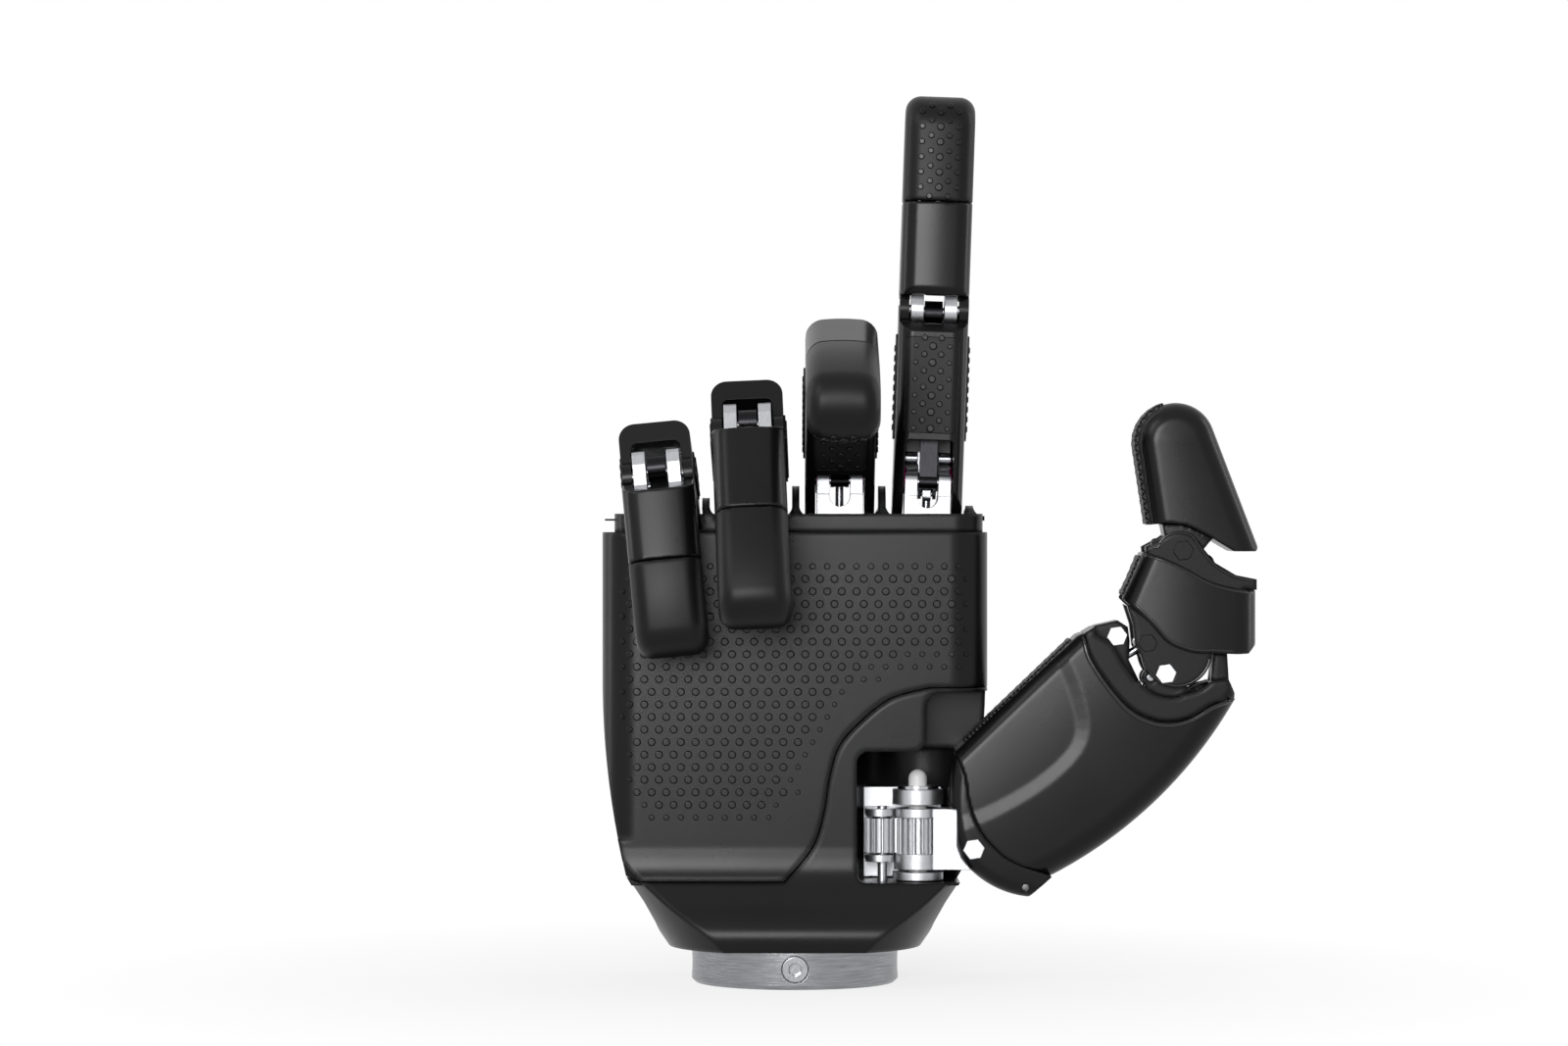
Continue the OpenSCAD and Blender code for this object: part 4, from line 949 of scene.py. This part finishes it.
class HAND_OT_thumb_dots(bpy.types.Operator):
    """Raises the grip dots along the thumb's inner edge"""

    bl_idname = "hand.thumb_dots"
    bl_label = "Thumb dots"

    def execute(self, context):
        height = context.scene.hand_settings.dot_height * THUMB_DOT_LIFT
        strips = (
            ("thumb_base_dots", "thumb_base", DOT_BLACK, "black_shell",
             surface_of("thumb_metacarpal"), straight_path((59.2, 74.4), (37.0, 53.2), EDGE_STEP)),
            ("thumb_lower_dots", "thumb_lower", DOT_BLACK, "black_shell",
             surface_of("thumb_sleeve"), straight_path((74.2, 92.4), (71.0, 85.1), EDGE_STEP)),
            ("thumb_tip_dots", "thumb_upper", DOT_BLACK, "grip_pad",
             surface_of("thumb_pad", "thumb_distal"),
             arc_path((82.1, 117.4), 8.5, 112, 188.6, EDGE_STEP)
             + straight_path((73.6, 115.1), (76.1, 100.4), EDGE_STEP)),
        )
        for name, body, finish, slot, tree, path in strips:
            bm = bmesh.new()
            edge_dots(bm, tree, path, THUMB_DOT, height)
            make_piece(name, bm, finish, body)
        return {"FINISHED"}


HEAD_TURN = 8


class HAND_OT_thumb_screws(bpy.types.Operator):
    """Sets the hexagon heads on the thumb's pins"""

    bl_idname = "hand.thumb_screws"
    bl_label = "Thumb screws"

    def execute(self, context):
        front = THUMB_HALF
        heads = (
            ("thumb_base_heads", "thumb_base", "Aluminium milled", "steel",
             ((69.5, 75.6, 4.55, 4.76, 4.0), (38.4, 30.0, front - 0.3, front + 1.5, 4.1))),
            ("thumb_lower_heads", "thumb_lower", "Aluminium milled", "steel",
             ((79.8, 67.6, front - 1.2, front - 0.6, 4.0),)),
            ("thumb_lower_plugs", "thumb_lower", DOT_BLACK, "black_shell",
             ((83.5, 94.1, front - 1.2, front - 0.75, 4.0),
              (75.9, 74.2, front - 1.2, front - 0.75, 3.6))),
        )
        for name, body, finish, slot, spots in heads:
            bm = bmesh.new()
            for x, z, low, high, across in spots:
                hex_head(bm, in_plane(x, z), across, low, high, HEAD_TURN)
            make_piece(name, bm, finish, body)
        return {"FINISHED"}


RIM = (
    (94.2, 62.6), (90, 61), (85.4, 58.3), (80.8, 57.2), (76.3, 57.9), (71.8, 60.4), (67.2, 65.6),
    (63.4, 71.6), (62.3, 76.0),
)
SLEEVE_TOP = ((75.2, 92.9), (79, 91.9), (83.8, 89.7), (89, 86.9), (94, 85.5), (98.6, 84.9))
SLEEVE_LOW = ((94.2, 72.5), (90, 72.7), (85.5, 72.9), (80.6, 74.8), (76.7, 79.1), (72.5, 83.0))


LOBE_TOP = ((88.4, 92.9), (90.6, 90.6), (94.6, 88.4), (98.6, 87.6))
RIM_BEAD = 0.5
SEAM_BEAD = 0.25
LOBE_BEAD = 0.3
# Radius and depth of turned pieces, in millimetres.
ROLLER_AT = (88.1, 91.2)
ROLLER = ((1.8, 5.1), (2.2, 5.5), (2.2, 6.7), (1.9, 7.1), (1.4, 7.2), (1.2, 6.6))
EYELET_AT = (77.5, 95.6)
EYELET = (
    (1.15, THUMB_LOBE - 0.2), (1.15, THUMB_LOBE + 0.15), (0.75, THUMB_LOBE + 0.15),
    (0.7, THUMB_LOBE - 0.1),
)


def turned_on_thumb(bm, at, profile):
    """Turned body that stands out of the thumb's front."""
    place = Matrix.Translation(in_plane(*at)) @ Matrix.Rotation(math.radians(90), 4, "X")
    turned(bm, place, [(r * MM, h * MM) for r, h in profile])


class HAND_OT_thumb_trim(bpy.types.Operator):
    """Lays the rim bead, the seams, the roller and the eyelet on the thumb"""

    bl_idname = "hand.thumb_trim"
    bl_label = "Thumb trim"

    def execute(self, context):
        bm = bmesh.new()
        tree = surface_of("thumb_metacarpal")
        thumb_bead(bm, tree, shifted(RIM, -0.3, -0.7), -THUMB_HALF, 0.1, RIM_BEAD)
        make_piece("thumb_rim", bm, "ABS polished black", "thumb_base")

        bm = bmesh.new()
        tree = surface_of("thumb_sleeve")
        thumb_bead(bm, tree, SLEEVE_TOP, -THUMB_HALF, 0.05, SEAM_BEAD)
        thumb_bead(bm, tree, SLEEVE_LOW, -THUMB_HALF, 0.05, SEAM_BEAD)
        tree = surface_of("thumb_proximal")
        lower = on_arc((82.1, 72.2), 7.2, 195, 350, 15)
        thumb_bead(bm, tree, lower, -THUMB_LOBE, 0.1, LOBE_BEAD)
        upper = [*on_arc((82.6, 93.0), 5.0, 150, 52, 10), *LOBE_TOP]
        thumb_bead(bm, tree, upper, -THUMB_LOBE, 0.1, LOBE_BEAD)
        make_piece("thumb_lower_beads", bm, "ABS polished black", "thumb_lower")

        bm = bmesh.new()
        turned_on_thumb(bm, ROLLER_AT, ROLLER)
        make_piece("thumb_roller", bm, "Steel nickel plated", "thumb_lower")

        bm = bmesh.new()
        turned_on_thumb(bm, EYELET_AT, EYELET)
        make_piece("thumb_eyelet", bm, "ABS polished black", "thumb_lower")
        return {"FINISHED"}


WASHER = ((1.4, 4.7), (3.0, 4.7), (3.05, 4.8), (3.05, 5.2), (3.0, 5.25), (1.4, 5.25))
SIDE_PITCH = 2.15
SIDE_FROM = 11.5
SIDE_ENDS = 17
SIDE_COLUMNS = (-2.4, -0.4, 1.6)
SIDE_START = 12
SIDE_REACH = 0.008
SIDE_DOT = 0.7
SIDE_LIFT = 0.6


class HAND_OT_finger_trim(bpy.types.Operator):
    """Adds the coloured washers at the knuckles and the small dots on the fingers' sides"""

    bl_idname = "hand.finger_trim"
    bl_label = "Finger trim"

    def execute(self, context):
        height = context.scene.hand_settings.dot_height
        for finger in FINGERS:
            frame_at = lower_frame(finger)
            bm = bmesh.new()
            for side in (-1, 1):
                place = frame_at @ Matrix.Rotation(math.radians(90 * side), 4, "Y")
                turned(bm, place, [(r * MM, h * MM) for r, h in WASHER])
            make_piece(finger + "_washers", bm, "Aluminium anodised magenta", "palm")
            bm = bmesh.new()
            tree = surface_of(finger + "_proximal", finger + "_grip")
            count = int((segment_length(finger) - SIDE_ENDS) // SIDE_PITCH)
            for side in (-1, 1):
                way = frame_at.to_3x3() @ Vector((-side, 0, 0))
                for row in range(count):
                    z = (SIDE_FROM + row * SIDE_PITCH) * MM
                    for y in SIDE_COLUMNS:
                        start = frame_at @ Vector((side * SIDE_START * MM, y * MM, z))
                        hit = tree.ray_cast(start, way, SIDE_REACH)[0]
                        if hit is not None:
                            add_dot(bm, hit, -way, SIDE_DOT * MM, SIDE_LIFT * height)
            make_piece(finger + "_side_dots", bm, DOT_BLACK, finger + "_lower")
        return {"FINISHED"}


class HAND_OT_stage(bpy.types.Operator):
    """Lays a pale floor and sets the lamps, the world and the camera"""

    bl_idname = "hand.stage"
    bl_label = "Studio"

    def execute(self, context):
        settings = context.scene.stage_settings
        scene = context.scene
        bm = bmesh.new()
        bmesh.ops.create_grid(bm, x_segments=1, y_segments=1, size=FLOOR_HALF)
        mesh = bpy.data.meshes.new("floor")
        bm.to_mesh(mesh)
        bm.free()
        floor = bpy.data.objects.new("floor", mesh)
        scene.collection.objects.link(floor)
        paper = bpy.data.materials.new("Paper white seamless")
        paper.use_nodes = True
        tree = paper.node_tree
        tree.nodes.clear()
        lit = add(tree, "ShaderNodeBsdfDiffuse", Color=linear("#F7F7F8"))
        out = add(tree, "ShaderNodeOutputMaterial")
        glow = add(tree, "ShaderNodeEmission", {"Strength": background_rays(tree)})
        where = add(tree, "ShaderNodeTexCoord").outputs["Object"]
        near = add(tree, "ShaderNodeMapping", {"Vector": where}, Scale=(FLOOR_FADE,) * 3)
        near = add(
            tree, "ShaderNodeTexGradient", {"Vector": near.outputs[0]}, gradient_type="SPHERICAL"
        )
        near = add(tree, "ShaderNodeMath", {0: near.outputs["Fac"]}, operation="MULTIPLY")
        near.inputs[1].default_value = FLOOR_LIT
        paper_look = add(
            tree, "ShaderNodeMixShader", {0: near.outputs[0], 1: glow.outputs[0], 2: lit.outputs[0]}
        )
        tree.links.new(paper_look.outputs[0], out.inputs["Surface"])
        mesh.materials.append(paper)

        world = bpy.data.worlds.new("Studio")
        scene.world = world
        world.use_nodes = True
        tree = world.node_tree
        tree.nodes.clear()
        lit = add(tree, "ShaderNodeBackground", Color=linear("#F4F5F7"), Strength=WORLD_LIGHT)
        white = add(tree, "ShaderNodeBackground", Color=(1, 1, 1, 1), Strength=1.0)
        mix = add(
            tree,
            "ShaderNodeMixShader",
            {0: background_rays(tree), 1: lit.outputs[0], 2: white.outputs[0]},
        )
        out = add(tree, "ShaderNodeOutputWorld")
        tree.links.new(mix.outputs[0], out.inputs["Surface"])

        for lamp in LAMPS:
            area_light(*lamp)

        data = bpy.data.cameras.new("Camera")
        data.lens = settings.lens
        data.sensor_width = 36
        camera = bpy.data.objects.new("Camera", data)
        camera.location = (-0.00236, -settings.camera_distance, 0.1)
        camera.rotation_euler = Euler((math.radians(90), 0, 0))
        scene.collection.objects.link(camera)
        scene.camera = camera
        scene.view_settings.view_transform = "Standard"
        return {"FINISHED"}


PIECES = (
    HAND_OT_finishes,
    HAND_OT_shells,
    HAND_OT_palm_dots,
    HAND_OT_finger_dots,
    HAND_OT_thumb_dots,
    HAND_OT_thumb_screws,
    HAND_OT_thumb_trim,
    HAND_OT_finger_trim,
    HAND_OT_stage,
)


class HAND_PT_panel(bpy.types.Panel):
    """Lists the hand's pieces and their sizes"""

    bl_idname = "HAND_PT_panel"
    bl_label = "Robot hand"
    bl_space_type = "VIEW_3D"
    bl_region_type = "UI"
    bl_category = "Hand"

    def draw(self, context):
        for group in (context.scene.hand_settings, context.scene.stage_settings):
            for key in group.__annotations__:
                self.layout.prop(group, key)
        for piece in PIECES:
            self.layout.operator(piece.bl_idname)


CLASSES = (HandSettings, StageSettings, *PIECES, HAND_PT_panel)


def register():
    for cls in CLASSES:
        bpy.utils.register_class(cls)
    bpy.types.Scene.hand_settings = bpy.props.PointerProperty(type=HandSettings)
    bpy.types.Scene.stage_settings = bpy.props.PointerProperty(type=StageSettings)


def unregister():
    del bpy.types.Scene.hand_settings, bpy.types.Scene.stage_settings
    for cls in reversed(CLASSES):
        bpy.utils.unregister_class(cls)


def main():
    """Dresses the hand."""
    register()
    for piece in PIECES:
        group, name = piece.bl_idname.split(".")
        getattr(getattr(bpy.ops, group), name)()


if __name__ == "__main__":
    main()
